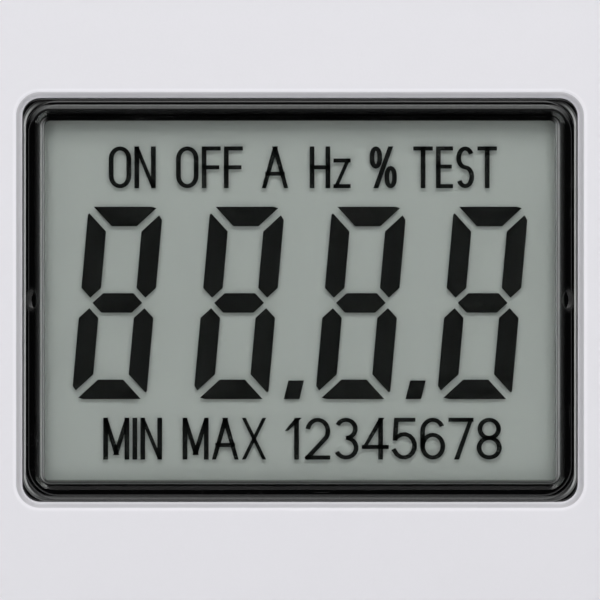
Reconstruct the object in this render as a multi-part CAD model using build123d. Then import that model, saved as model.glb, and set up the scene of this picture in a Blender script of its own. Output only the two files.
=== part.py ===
"""Plug-in energy monitor: a wall-outlet meter with a display window, three buttons and a socket.

Frame: +Z up, +X to the right seen from the room, the room on the -Y side, the wall on the +Y side.
Origin: the middle of the plug's face, between the two pins. "Out" below is a distance from that face
towards the room, so a point at out = 17 lies at y = -17. All sizes are in millimetres and degrees.
"""
import os
from math import cos, pi, radians, sin, sqrt, tan

from build123d import *

# Housing
body_width = 64.0
body_above_plug = 94.0
body_below_plug = 29.0
body_depth = 38.0
top_corner_radius = 9.0
bottom_corner_radius = 22.0
wall = 2.2
draft = 1.5
front_edge_radius = 2.6
rear_edge_radius = 1.6
rear_shell_depth = 15.0
seam_chamfer = 0.35
tongue_height = 1.4
tongue_thickness = 1.0
tongue_clearance = 0.1

# Clearances that several pieces share
sliding_gap = 0.2
seat_gap = 0.05
overrun = 1.0

# Screws that hold the two shells together
screw_column_side_margin = 8.8
screw_column_top_margin = 6.4
screw_column_bottom_margin = 10.8
screw_shank_radius = 1.5
screw_shank_length = 12.0
screw_head_radius = 2.8
screw_head_height = 2.0
screw_hole_gap = 0.05
screw_well_radius = 3.1
screw_well_floor = 2.5
column_wall = 1.2
pilot_wall = 1.8
pilot_spare = 1.0
drive_slot_length = 3.2
drive_slot_width = 0.8
drive_slot_depth = 1.1

# Window in the front shell, and the frame moulding inside it
window_side_margin = 7.0
window_top_margin = 12.2
window_above_buttons = 14.0
window_corner_radius = 2.05
mouth_slope_width = 0.46
mouth_slope_depth = 0.8
mouth_lip_radius = 0.4
bezel_gap = 0.04
bezel_edge_drop = 0.85
bezel_edge_width = 0.18
bezel_shoulder_drop = 0.5
bezel_shoulder_width = 0.34
bezel_shoulder_corner = 2.9
bezel_crest_drop = 0.25
bezel_crest_width = 0.53
bezel_crest_corner = 2.6
bezel_slope_corner = 1.6
bezel_step_round = 0.12
bezel_back_drop = 3.0
bezel_flange_width = 1.5
bezel_skirt_depth = 1.0
vent_width = 0.36
vent_height = 1.35
vent_depth = 0.4
vent_inset = 1.5
vent_dish_radius = 1.6
vent_dish_depth = 0.16

# Clear lens in the frame moulding
lens_side_margin = 1.95
lens_top_drop = 1.2
lens_thickness = 0.8
lens_corner_radius = 0.9
lens_bevel = 0.12
view_side_margin = 2.35
view_end_margin = 2.3
view_corner_radius = 0.5
view_drop = 0.1

# Liquid crystal display behind the lens
glass_side_border = 1.55
glass_end_border = 2.3
glass_thickness = 0.55
contact_ledge = 1.7
polariser_setback = 1.5
polariser_thickness = 0.15
cell_gap = 0.08
seal_width = 0.5
seal_setback = 0.1
reflector_thickness = 0.15

# Seven-segment digits
digit_count = 4
digit_pitch_share = 0.2392
digit_width_share = 0.6125
digit_height_share = 0.535
digit_drop = 0.26
bar_width_share = 0.262
bar_joint_gap = 0.46
bar_end_trim = 0.12
bar_nose_trim = 0.6
digit_slant = 5.1
point_width = 1.39
point_height = 1.66
point_side_share = 0.5135
point_slant = 14.0
digits_with_point = (1, 2)

# Display holder, connector strips and circuit board
board_drop = 8.0
board_thickness = 1.6
board_side_margin = 5.0
board_below_buttons = 5.6
board_top_margin = 5.4
board_corner_radius = 1.0
board_notch_gap = 0.4
holder_rail = 1.9
holder_pocket_gap = 0.15
strip_width = 0.9
strip_end_margin = 1.7
strip_gap = 0.1
strip_wall = 0.35
board_column_low_margin = 2.3
board_column_low_drop = 2.6
board_column_high_gap = 8.2
board_column_high_margin = 2.2
board_column_radius = 2.0
board_screw_radius = 1.1
board_screw_length = 5.5
board_screw_head_radius = 2.0
board_screw_head_height = 1.4

# Push buttons and the switches under them
button_row_margin = 5.8
button_length_share = 0.65
button_above_socket = 9.5
button_height = 6.2
button_proud = 1.3
button_dome_radius = 0.9
button_flange_width = 1.1
button_flange_thickness = 0.9
button_play = 0.1
button_travel = 0.6
stem_radius = 1.6
switch_size = 6.0
switch_height = 3.4
switch_cover_thickness = 0.5
plunger_radius = 1.7
plunger_height = 1.2
plunger_gap = 0.1
plunger_hidden = 0.6

# Socket that takes a round two-pin plug with side earth contacts
pin_spacing = 19.0
socket_gap = 1.0
socket_depth = 17.5
cup_wall = 2.2
cup_floor = 2.5
cup_proud = 0.7
cup_rim_radius = 0.6
cup_flange_width = 1.8
cup_flange_thickness = 1.4
cup_gap = 0.12
pin_hole_radius = 2.75
pin_hole_funnel = 0.5
guide_rib_width = 5.0
guide_rib_reach = 2.5
guide_rib_drop = 3.0
guide_rib_round = 0.8

# Shutter behind the socket's floor
shutter_thickness = 1.7
shutter_gap = 0.25
shutter_hub_radius = 4.6
shutter_side_gap = 1.6
shutter_cover_angle = 20.0
shutter_ramp_start = 1.2
shutter_ramp_end = 5.0
shutter_ramp_depth = 1.2
shutter_bore_gap = 0.06
shutter_post_radius = 2.0
spring_wire = 0.4
spring_radius = 2.8
spring_turns = 2.0
spring_pitch = 0.9
spring_leg = 3.6
spring_pocket_gap = 0.3

# Carrier that holds the two live contacts
carrier_inset = 1.9
carrier_rim = 1.6
contact_outer_radius = 3.4
contact_inner_radius = 2.5
contact_slit = 1.2
contact_pocket_gap = 0.3
contact_setback = 0.4
strap_width = 5.0
strap_thickness = 0.8
foot_plate_length = 6.6

# Plug on the back
plug_radius = 18.5
plug_length = 17.0
plug_face = 3.0
plug_hollow_side_gap = 1.1
plug_hollow_height = 24.0
plug_hollow_corner = 6.0
plug_edge_radius = 1.2
plug_flange_width = 2.4
plug_flange_thickness = 2.0
plug_gap = 0.1
plug_notch_width = 6.4
plug_notch_depth = 2.1
pin_radius = 2.4
pin_length = 19.0
pin_tip_radius = 1.6
pin_shank_radius = 2.0
pin_tail = 5.0
pin_collar_radius = 3.1
pin_collar_thickness = 1.0

# Earth contact strips, one above and one below the pins, and the bridge that joins them
earth_width = 5.0
earth_thickness = 0.8
earth_groove_gap = 0.3
earth_start = 1.4
earth_bend_radius = 1.2
earth_kick_start = 23.0
earth_kick_length = 4.0
earth_behind_wall = 0.5
earth_bulge_reach = 2.6
earth_bulge_start = 3.0
earth_bulge_length = 4.0
earth_bulge_flat = 2.6
earth_end_drop = 4.0
bridge_width = 2.0
bridge_thickness = 0.8
bridge_gap = 0.5

# Battery bay in the back
bay_above_plug = 62.0
cover_width = 32.0
cover_height = 24.0
cover_corner_radius = 2.5
cover_thickness = 2.0
cover_gap = 0.2
cover_grip_count = 5
cover_grip_pitch = 1.6
cover_grip_width = 0.8
cover_grip_depth = 0.4
cover_grip_length = 10.0
cell_radius = 5.8
cell_height = 5.4
cell_rim_height = 0.8
cell_rim_inset = 0.9
cell_spacing = 12.6
cell_raise = 3.4
bay_wall = 1.4
bay_gap = 0.3
cell_plate_thickness = 0.3
cell_plate_width = 6.0
cover_screw_drop = 8.2
cover_screw_radius = 1.1
cover_screw_length = 6.0
cover_screw_head_radius = 2.1
cover_screw_head_height = 1.1
cover_boss_radius = 3.0

# Parts on the back of the circuit board: a block's size is its width, height and depth, and a place
# is a share of the board's half width to the right and a share of the board's height upward
capacitor_size = (18.0, 11.0, 9.0)
capacitor_place_shares = (-0.37, 0.18)
capacitor_edge_radius = 0.8
smoothing_radius = 4.0
smoothing_length = 9.0
smoothing_place_shares = (0.24, 0.125)
smoothing_edge_radius = 0.5
varistor_radius = 4.5
varistor_thickness = 3.6
varistor_place_shares = (0.55, 0.15)
fuse_radius = 2.0
fuse_length = 12.0
fuse_place_shares = (0.37, 0.325)
fuse_lift = 0.3
chip_size = (10.0, 6.0, 1.8)
chip_place_shares = (-0.48, 0.45)
chip_leg_pitch = 1.27
chip_leg_count = 7
chip_leg_size = (0.5, 1.1, 0.9)
blob_radius = 5.5
blob_height = 1.5
blob_place_shares = (0.0, 0.673)
crystal_size = (8.0, 3.0, 2.6)
crystal_place_shares = (0.48, 0.7365)
shunt_wire = 1.0
shunt_span = 9.0
shunt_rise = 3.4
shunt_bend_radius = 1.2
shunt_place_shares = (-0.445, 0.333)

# Flat metal bars from the contact straps, up behind the socket cup, to the circuit board
busbar_width = 4.0
busbar_thickness = 0.8
busbar_setback = 2.6
busbar_below_buttons = 3.7

# Places and sizes across the front, worked out from the sizes above
pin_side = pin_spacing / 2
socket_radius = plug_radius + socket_gap
cup_radius = socket_radius + cup_wall
carrier_radius = plug_radius - carrier_inset
shutter_radius = carrier_radius - carrier_rim - shutter_side_gap
plug_hollow_width = 2 * (pin_side + contact_outer_radius + plug_hollow_side_gap)
screw_column_side = body_width / 2 - screw_column_side_margin
screw_column_top = body_above_plug - screw_column_top_margin
screw_column_bottom = screw_column_bottom_margin - body_below_plug
button_above_plug = cup_radius + button_above_socket
window_bottom = button_above_plug + window_above_buttons
window_width = body_width - 2 * window_side_margin
window_height = body_above_plug - window_top_margin - window_bottom
window_above_plug = window_bottom + window_height / 2
view_width = window_width - 2 * view_side_margin
view_height = window_height - 2 * view_end_margin
glass_width = view_width + 2 * glass_side_border
front_glass_height = view_height + 2 * glass_end_border
rear_glass_height = front_glass_height - 2 * contact_ledge
polariser_height = front_glass_height - 2 * polariser_setback
digit_pitch = digit_pitch_share * view_width
digit_width = digit_width_share * digit_pitch
digit_height = digit_height_share * view_height
bar_width = bar_width_share * digit_width
point_side = point_side_share * digit_pitch
strip_length = glass_width - 2 * strip_end_margin
board_width = body_width - 2 * board_side_margin
board_bottom = button_above_plug - board_below_buttons
board_top = body_above_plug - board_top_margin
board_column_low_side = board_width / 2 - board_column_low_margin
board_column_low = button_above_plug - board_column_low_drop
board_column_high_side = screw_column_side - board_column_high_gap
board_column_high = board_top - board_column_high_margin
button_spacing = (board_width / 2 - button_row_margin) / (1 + button_length_share / 2)
button_length = button_length_share * button_spacing
busbar_top = button_above_plug - busbar_below_buttons

# Depths worked out from the sizes above
rear_out = plug_length
parting_out = rear_out + rear_shell_depth
front_out = rear_out + body_depth
inner_front_out = front_out - wall
inner_rear_out = rear_out + wall
board_front_out = front_out - board_drop
board_back_out = board_front_out - board_thickness
bezel_back_out = front_out - bezel_back_drop
bezel_skirt_out = bezel_back_out - bezel_skirt_depth
lens_back_out = front_out - lens_top_drop - lens_thickness
glass_front_out = bezel_back_out - seat_gap - polariser_thickness
cell_front_out = glass_front_out - glass_thickness
cell_back_out = cell_front_out - cell_gap
glass_back_out = cell_back_out - glass_thickness
reflector_back_out = glass_back_out - reflector_thickness
socket_floor_out = front_out - socket_depth
cup_back_out = socket_floor_out - cup_floor
shutter_front_out = cup_back_out - shutter_gap
shutter_back_out = shutter_front_out - shutter_thickness
carrier_front_out = shutter_back_out - shutter_gap
plug_flange_out = inner_rear_out + plug_flange_thickness
spring_leg_rise = spring_leg * spring_pitch / (2 * pi * spring_radius)
spring_end_out = shutter_back_out - seat_gap - spring_wire / 2 - spring_leg_rise
spring_start_out = spring_end_out - spring_turns * spring_pitch
bay_floor_out = rear_out + cover_thickness + 2 * cell_plate_thickness + seat_gap + cell_height
strip_offset = rear_glass_height / 2 + holder_pocket_gap + strip_wall + strip_gap + strip_width / 2
earth_line_on_plug = sqrt(plug_radius**2 - (earth_width / 2) ** 2) - earth_thickness / 2
earth_line_in_cup = socket_radius + earth_behind_wall - earth_thickness / 2
strap_side = pin_side + contact_outer_radius - strap_thickness / 2
busbar_centre = strap_side + (strap_thickness + busbar_width) / 2


def level(out):
    """The plane facing the room at a distance out from the plug's face; its x is +X and its y is +Z."""
    return Plane.XZ.offset(out)


def slab(sketch, start, end):
    """A sketch drawn in X and Z, made solid from one out distance to another."""
    return extrude(level(start) * sketch, amount=end - start)


def disc(radius, start, end, side=0.0, height=0.0):
    """A round bar along the out direction, centred at x = side and z = height."""
    return slab(Pos(side, height) * Circle(radius), start, end)


def block(width, height, start, end, side=0.0, up=0.0):
    """A square-cornered block along the out direction, centred at x = side and z = up."""
    return slab(Pos(side, up) * Rectangle(width, height), start, end)


def polygon(points):
    """A closed flat shape through the given points."""
    return make_face(Polyline(*points, close=True))


def body_outline(inset=0.0):
    """The housing's outline seen from the room, drawn in from the outer face by inset."""
    height = body_above_plug + body_below_plug - 2 * inset
    middle = (body_above_plug - body_below_plug) / 2
    sheet = Pos(0, middle) * Rectangle(body_width - 2 * inset, height)
    top = sheet.vertices().group_by(Axis.Y)[-1]
    sheet = fillet(top, top_corner_radius - inset)
    bottom = sheet.vertices().group_by(Axis.Y)[0]
    return fillet(bottom, bottom_corner_radius - inset)


def draft_inset(out):
    """How far the drafted side walls have come in at a distance out from the plug's face."""
    return abs(out - parting_out) * tan(radians(draft))


def drafted(inset, start, end):
    """A body-shaped solid whose sides lean in with the housing's draft, away from the parting plane."""
    return extrude(level(start) * body_outline(inset + draft_inset(start)), amount=end - start, taper=draft)


def rear_drafted(inset, start, end):
    """The same on the wall's side of the parting plane: start is nearer the parting plane than end."""
    sketch = level(start) * body_outline(inset + draft_inset(start))
    return extrude(sketch, amount=start - end, dir=(0, 1, 0), taper=draft)


def column_places():
    """Where the four shell screws stand, as x and z."""
    return [
        (side, height)
        for side in (-screw_column_side, screw_column_side)
        for height in (screw_column_bottom, screw_column_top)
    ]


def board_column_places():
    """Where the circuit board's four screws stand, as x and z."""
    corners = ((board_column_low_side, board_column_low), (board_column_high_side, board_column_high))
    return [(way * side, height) for side, height in corners for way in (-1, 1)]


def button_places():
    """The three buttons' centres, as x, from left to right."""
    return {"left": -button_spacing, "middle": 0.0, "right": button_spacing}


def place_on_board(place_shares):
    """A place on the circuit board as x and z, from shares of its half width and of its height."""
    across_share, up_share = place_shares
    return across_share * board_width / 2, board_bottom + up_share * (board_top - board_bottom)


def window_sketch(inset, radius):
    """A rounded rectangle on the window's centre, drawn in from the window's edge by inset."""
    return Pos(0, window_above_plug) * RectangleRounded(
        window_width - 2 * inset, window_height - 2 * inset, radius
    )


def display_sketch(width, height):
    """A square-cornered rectangle on the window's centre."""
    return Pos(0, window_above_plug) * Rectangle(width, height)


def tapered_hole(front_sketch, front_out_distance, back_sketch, back_out_distance):
    """A cut that narrows evenly from a front outline to a back outline."""
    front = level(front_out_distance) * front_sketch
    back = level(back_out_distance) * back_sketch
    return loft([back.face(), front.face()], ruled=True)


def make_front_shell():
    """Front casing: window mouth, button holes, socket hole, screw columns and board columns."""
    outer = drafted(0, parting_out, front_out)
    outer = fillet(outer.faces().sort_by(Axis.Y)[0].edges(), front_edge_radius)
    shell = outer - drafted(wall, parting_out, inner_front_out)
    seam = shell.faces().sort_by(Axis.Y)[-1].outer_wire().edges()
    shell = chamfer(seam, seam_chamfer)
    rebate = body_outline(wall - tongue_thickness - tongue_clearance)
    shell -= slab(rebate, parting_out, parting_out + tongue_height + tongue_clearance)

    mouth = window_sketch(0, window_corner_radius)
    throat = window_sketch(mouth_slope_width, window_corner_radius - mouth_slope_width)
    shell -= tapered_hole(mouth, front_out, throat, front_out - mouth_slope_depth)
    shell -= slab(throat, inner_front_out - overrun, front_out - mouth_slope_depth)
    for side in button_places().values():
        hole = SlotOverall(button_length + 2 * sliding_gap, button_height + 2 * sliding_gap)
        shell -= slab(Pos(side, button_above_plug) * hole, inner_front_out - overrun, front_out + overrun)
    shell -= disc(cup_radius + cup_gap, inner_front_out - overrun, front_out + overrun)

    pilot_depth = screw_shank_length - screw_well_floor + pilot_spare
    for side, height in column_places():
        shell += disc(screw_shank_radius + pilot_wall, parting_out, inner_front_out, side, height)
        pilot = screw_shank_radius + screw_hole_gap
        shell -= disc(pilot, parting_out, parting_out + pilot_depth, side, height)
    for side, height in board_column_places():
        shell += disc(board_column_radius, board_front_out, inner_front_out, side, height)
        pilot = board_screw_radius + screw_hole_gap
        shell -= disc(pilot, board_front_out, inner_front_out, side, height)
    lip = [
        edge
        for edge in shell.edges().filter_by_position(Axis.Y, -front_out - seat_gap, -front_out + seat_gap)
        if abs(edge.center().X) <= window_width / 2 + seat_gap
        and abs(edge.center().Z - window_above_plug) <= window_height / 2 + seat_gap
    ]
    return fillet(lip, mouth_lip_radius)


def make_rear_shell():
    """Rear casing: plug hole, screw wells, tongue and battery bay."""
    outer = rear_drafted(0, parting_out, rear_out)
    outer = fillet(outer.faces().sort_by(Axis.Y)[-1].edges(), rear_edge_radius)
    shell = outer - rear_drafted(wall, parting_out, inner_rear_out)
    seam = shell.faces().sort_by(Axis.Y)[0].outer_wire().edges()
    shell = chamfer(seam, seam_chamfer)
    tongue = body_outline(wall - tongue_thickness) - body_outline(wall)
    shell += slab(tongue, parting_out - wall, parting_out + tongue_height)
    shell -= disc(plug_radius + plug_gap, rear_out - overrun, inner_rear_out + overrun)
    for side, height in column_places():
        column = disc(screw_well_radius + column_wall, inner_rear_out - wall / 2, parting_out, side, height)
        shell += column & drafted_cavity()
        well_floor = parting_out - screw_well_floor
        shell -= disc(screw_well_radius, rear_out - overrun, well_floor, side, height)
        shell -= disc(
            screw_shank_radius + screw_hole_gap, well_floor - overrun, parting_out + overrun, side, height
        )
    return add_battery_bay(shell)


def drafted_cavity():
    """The rear casing's solid envelope, used to trim what stands inside it."""
    return rear_drafted(wall / 2, parting_out, rear_out + wall / 2)


def bay_size():
    """The battery pocket's inner width and height."""
    width = cell_spacing + 2 * (cell_radius + bay_gap)
    height = 2 * (cell_radius + bay_gap)
    return width, height


def add_battery_bay(shell):
    """Adds the battery pocket, the cover's seat and its screw boss to the rear casing."""
    width, height = bay_size()
    centre = bay_above_plug + cell_raise
    floor_out = bay_floor_out
    shell += block(width + 2 * bay_wall, height + 2 * bay_wall, rear_out + wall / 2,
                   floor_out + bay_wall, 0, centre)
    seat = Pos(0, bay_above_plug) * RectangleRounded(
        cover_width + 2 * cover_gap, cover_height + 2 * cover_gap, cover_corner_radius + cover_gap
    )
    shelf = Pos(0, bay_above_plug) * RectangleRounded(
        cover_width + 2 * cover_gap + 2 * bay_wall,
        cover_height + 2 * cover_gap + 2 * bay_wall,
        cover_corner_radius + cover_gap + bay_wall,
    )
    seat_floor_out = rear_out + cover_thickness + seat_gap
    shell += slab(shelf, rear_out + wall / 2, seat_floor_out + bay_wall)
    screw_height = bay_above_plug - cover_screw_drop
    boss_end = rear_out + cover_screw_head_height + cover_screw_length + bay_wall
    shell += disc(cover_boss_radius, seat_floor_out, boss_end, 0, screw_height)
    shell -= slab(seat, rear_out - overrun, seat_floor_out)
    shell -= block(width, height, rear_out, floor_out, 0, centre)
    hole = cover_screw_radius + screw_hole_gap
    return shell - disc(hole, rear_out, boss_end + overrun, 0, screw_height)


def make_battery_cover():
    """Plate over the battery pocket, with a thumb grip and a sunk hole for its screw."""
    sheet = Pos(0, bay_above_plug) * RectangleRounded(cover_width, cover_height, cover_corner_radius)
    cover = slab(sheet, rear_out, rear_out + cover_thickness)
    for index in range(cover_grip_count):
        height = bay_above_plug + cell_raise + (index - (cover_grip_count - 1) / 2) * cover_grip_pitch
        groove = Pos(0, height) * SlotOverall(cover_grip_length, cover_grip_width)
        cover -= slab(groove, rear_out - overrun, rear_out + cover_grip_depth)
    screw_height = bay_above_plug - cover_screw_drop
    head = cover_screw_head_radius + sliding_gap
    cover -= disc(head, rear_out - overrun, rear_out + cover_screw_head_height, 0, screw_height)
    through = cover_screw_radius + screw_hole_gap
    return cover - disc(through, rear_out, rear_out + cover_thickness + overrun, 0, screw_height)


def make_screw(shank, length, head, head_height, head_out, side, height):
    """One pan-head screw driven towards the room; head_out is where its head meets its seat."""
    body = disc(shank, head_out, head_out + length, side, height)
    tip = body.faces().sort_by(Axis.Y)[0].edges()
    body = chamfer(tip, shank / 2)
    cap = disc(head, head_out - head_height, head_out, side, height)
    cap = chamfer(cap.faces().sort_by(Axis.Y)[-1].edges(), head_height / 3)
    slot_share = head / screw_head_radius
    for angle in (0, 90):
        slot = Rectangle(drive_slot_length * slot_share, drive_slot_width * slot_share)
        deep = min(drive_slot_depth, head_height / 2)
        start = head_out - head_height - overrun
        cap -= slab(Pos(side, height) * Rot(0, 0, angle) * slot, start, head_out - head_height + deep)
    return body + cap


def make_housing_screws():
    """The four screws that pull the shells together."""
    seat = parting_out - screw_well_floor
    return Compound([
        make_screw(screw_shank_radius, screw_shank_length, screw_head_radius, screw_head_height,
                   seat, side, height)
        for side, height in column_places()
    ])


def make_cover_screw():
    """The battery cover's screw, which stays in the cover."""
    seat = rear_out + cover_screw_head_height
    return make_screw(cover_screw_radius, cover_screw_length, cover_screw_head_radius,
                      cover_screw_head_height, seat, 0, bay_above_plug - cover_screw_drop)


def make_board_screws():
    """The four screws that hold the circuit board to the front shell."""
    return Compound([
        make_screw(board_screw_radius, board_screw_length, board_screw_head_radius,
                   board_screw_head_height, board_back_out, side, height)
        for side, height in board_column_places()
    ])


def make_window_bezel():
    """Stepped frame moulding in the window: low edge, shoulder, crest, sloping inner wall and skirt."""
    edge = mouth_slope_width + bezel_gap
    shoulder = edge + bezel_edge_width
    crest = shoulder + bezel_shoulder_width
    slope_top = crest + bezel_crest_width
    steps = (
        (edge, window_corner_radius - edge, bezel_edge_drop),
        (shoulder, bezel_shoulder_corner, bezel_shoulder_drop),
        (crest, bezel_crest_corner, bezel_crest_drop),
    )
    ring = slab(window_sketch(-bezel_flange_width, window_corner_radius), bezel_back_out, inner_front_out)
    for inset, radius, drop in steps:
        step = slab(window_sketch(inset, radius), bezel_back_out, front_out - drop)
        ring += fillet(step.faces().sort_by(Axis.Y)[0].edges(), bezel_step_round)
    pocket = window_sketch(lens_side_margin, lens_corner_radius)
    slope = window_sketch(slope_top, bezel_slope_corner)
    ring -= tapered_hole(slope, front_out - bezel_crest_drop, pocket, front_out - lens_top_drop)
    ring -= slab(pocket, lens_back_out - seat_gap, front_out - lens_top_drop)
    view = RectangleRounded(view_width, view_height, view_corner_radius)
    ring -= slab(Pos(0, window_above_plug - view_drop) * view, bezel_back_out - overrun, front_out)
    skirt = window_sketch(-bezel_flange_width, window_corner_radius) - display_sketch(
        glass_width + 2 * holder_pocket_gap, front_glass_height + 2 * holder_pocket_gap
    )
    ring += slab(skirt, bezel_skirt_out, bezel_back_out)
    for way in (-1, 1):
        side = way * (window_width / 2 - vent_inset)
        crest_out = front_out - bezel_crest_drop
        dish_out = crest_out + vent_dish_radius - vent_dish_depth
        ring -= Pos(side, -dish_out, window_above_plug) * Sphere(vent_dish_radius)
        vent = Pos(side, window_above_plug) * Ellipse(vent_width / 2, vent_height / 2)
        ring -= slab(vent, crest_out - vent_depth, front_out)
    return ring


def make_window_lens():
    """Clear flat window with a bevelled edge, dropped into the frame moulding's pocket."""
    sheet = window_sketch(lens_side_margin + seat_gap, lens_corner_radius - seat_gap)
    lens = slab(sheet, lens_back_out, lens_back_out + lens_thickness)
    return chamfer(lens.faces().sort_by(Axis.Y)[0].edges(), lens_bevel)


def make_lcd_polariser():
    """Polarising film on the front of the display."""
    return slab(display_sketch(glass_width, polariser_height), glass_front_out,
                glass_front_out + polariser_thickness)


def make_lcd_front_glass():
    """Front glass of the display, tall enough to leave a contact ledge above and below."""
    return slab(display_sketch(glass_width, front_glass_height), cell_front_out, glass_front_out)


def make_lcd_rear_glass():
    """Rear glass of the display."""
    return slab(display_sketch(glass_width, rear_glass_height), glass_back_out, cell_back_out)


def make_lcd_seal():
    """Thin seal between the two glasses, all the way round."""
    width = glass_width - 2 * seal_setback
    height = rear_glass_height - 2 * seal_setback
    ring = display_sketch(width, height) - display_sketch(width - 2 * seal_width, height - 2 * seal_width)
    return slab(ring, cell_back_out, cell_front_out)


def make_lcd_reflector():
    """Reflective film on the back of the rear glass."""
    return slab(display_sketch(glass_width, rear_glass_height), reflector_back_out, glass_back_out)


def slanted(points, slant):
    """The same points, leaning to the right as they rise."""
    return [(x + z * tan(radians(slant)), z) for x, z in points]


def digit_bars():
    """The seven bars of one digit as lists of points about the digit's centre, before the slant."""
    side = digit_width / 2
    top = digit_height / 2
    inner = side - bar_width
    half = bar_width / 2
    gap = bar_joint_gap
    upper = [
        (-side + gap, top),
        (side - gap - bar_nose_trim, top),
        (side - gap - bar_end_trim, top - bar_end_trim),
        (inner - gap, top - bar_width),
        (-inner + gap, top - bar_width),
    ]
    upper_left = [
        (-side, top - gap - 2 * bar_end_trim),
        (-side + bar_end_trim, top - gap - bar_end_trim),
        (-inner, top - gap - bar_width),
        (-inner, half + gap),
        (-side + half, gap),
        (-side, half + gap),
    ]
    upper_right = [
        (side - bar_nose_trim / 2, top - gap - bar_nose_trim / 2),
        (side, top - gap - bar_nose_trim - bar_end_trim),
        (side, half + gap),
        (side - half, gap),
        (inner, half + gap),
        (inner, top - gap - bar_width),
    ]
    tip = side - half - gap / 2
    middle = [
        (-tip, 0),
        (half - tip, half),
        (tip - half, half),
        (tip, 0),
        (tip - half, -half),
        (half - tip, -half),
    ]
    turned = [[(-x, -z) for x, z in bar] for bar in (upper, upper_left, upper_right)]
    return [upper, upper_left, upper_right, middle, *turned]


def make_lcd_segments():
    """All the display's bars and points: four slanted seven-bar digits and two decimal points."""
    pieces = []
    base = window_above_plug - digit_drop
    for index in range(digit_count):
        centre = (index - (digit_count - 1) / 2) * digit_pitch
        for bar in digit_bars():
            pieces.append(Pos(centre, base) * polygon(slanted(bar, digit_slant)))
        if index in digits_with_point:
            low = -digit_height / 2 + point_height / 2
            corners = [
                (way * point_width / 2, end * point_height / 2)
                for way, end in ((-1, -1), (1, -1), (1, 1), (-1, 1))
            ]
            lean = low * tan(radians(digit_slant))
            spot = Pos(centre + point_side + lean, base + low)
            pieces.append(spot * polygon(slanted(corners, point_slant)))
    return Compound([slab(piece, cell_back_out, cell_front_out) for piece in pieces])


def make_lcd_holder():
    """Frame that clamps the display between the frame moulding and the circuit board."""
    frame = slab(window_sketch(-bezel_flange_width, window_corner_radius), board_front_out,
                 bezel_skirt_out)
    opening = display_sketch(glass_width - 2 * holder_rail, rear_glass_height - 2 * holder_rail)
    frame -= slab(opening, board_front_out - overrun, front_out)
    pocket = display_sketch(
        glass_width + 2 * holder_pocket_gap, rear_glass_height + 2 * holder_pocket_gap
    )
    frame -= slab(pocket, reflector_back_out - seat_gap, front_out)
    for way in (-1, 1):
        frame -= block(strip_length + 2 * strip_gap, strip_width + 2 * strip_gap,
                       board_front_out - overrun, front_out, 0, window_above_plug + way * strip_offset)
    return frame


def make_connector_strips():
    """Two rubber strips that join the display's ledges to the circuit board."""
    return Compound([
        block(strip_length, strip_width, board_front_out, cell_front_out, 0,
              window_above_plug + way * strip_offset)
        for way in (-1, 1)
    ])


def make_circuit_board():
    """Circuit board behind the display and the buttons, notched round the upper shell screws."""
    sheet = RectangleRounded(board_width, board_top - board_bottom, board_corner_radius)
    board = slab(Pos(0, (board_top + board_bottom) / 2) * sheet, board_back_out, board_front_out)
    for side, up in board_column_places():
        hole = board_screw_radius + screw_hole_gap
        board -= disc(hole, board_back_out - overrun, board_front_out + overrun, side, up)
    notch = screw_shank_radius + pilot_wall + board_notch_gap
    for way in (-1, 1):
        corner_width = body_width / 2 - screw_column_side + notch
        corner_side = screw_column_side - notch + corner_width / 2
        corner_height = body_above_plug - screw_column_top + notch
        corner_up = screw_column_top - notch + corner_height / 2
        board -= block(corner_width, corner_height, board_back_out - overrun, board_front_out + overrun,
                       way * corner_side, corner_up)
    return board


def button_top_out():
    """The out distance of a button's crown."""
    return front_out + button_proud


def plunger_top_out():
    """The out distance of a switch plunger's top, where the button's stem rests."""
    return board_front_out + switch_height + plunger_height - plunger_hidden


def make_button(side):
    """Pill-shaped button with a domed crown, a flange behind the wall and a stem."""
    place = Pos(side, button_above_plug)
    flange_front = inner_front_out - button_play
    cap = slab(place * SlotOverall(button_length, button_height), flange_front, button_top_out())
    cap = fillet(cap.faces().sort_by(Axis.Y)[0].edges(), button_dome_radius)
    flange = SlotOverall(
        button_length + 2 * button_flange_width, button_height + 2 * button_flange_width
    )
    cap += slab(place * flange, flange_front - button_flange_thickness, flange_front)
    return cap + disc(stem_radius, plunger_top_out(), flange_front, side, button_above_plug)


def make_plunger(side):
    """A switch's plunger, which the button pushes."""
    end = plunger_top_out()
    plunger = disc(plunger_radius, end - plunger_height, end, side, button_above_plug)
    return chamfer(plunger.faces().sort_by(Axis.Y)[0].edges(), plunger_gap)


def make_switches():
    """Three switch bodies on the circuit board, each with a well for its plunger."""
    top = board_front_out + switch_height
    well = plunger_top_out() - plunger_height - button_travel - plunger_gap
    bodies = []
    for side in button_places().values():
        body = block(switch_size, switch_size, board_front_out, top, side, button_above_plug)
        rim = body.edges().filter_by(Axis.Y)
        body = chamfer(rim, switch_cover_thickness)
        hole = plunger_radius + plunger_gap
        bodies.append(body - disc(hole, well, top + overrun, side, button_above_plug))
    return Compound(bodies)


def cup_flange_sketch():
    """The cup's flange: round, inside the front casing's walls and clear of its screw columns."""
    inside = body_outline(wall + draft_inset(inner_front_out) + cup_gap)
    sketch = Circle(cup_radius + cup_flange_width) & inside
    for side, height in column_places():
        sketch -= Pos(side, height) * Circle(screw_shank_radius + pilot_wall + cup_gap)
    return sketch


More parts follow.
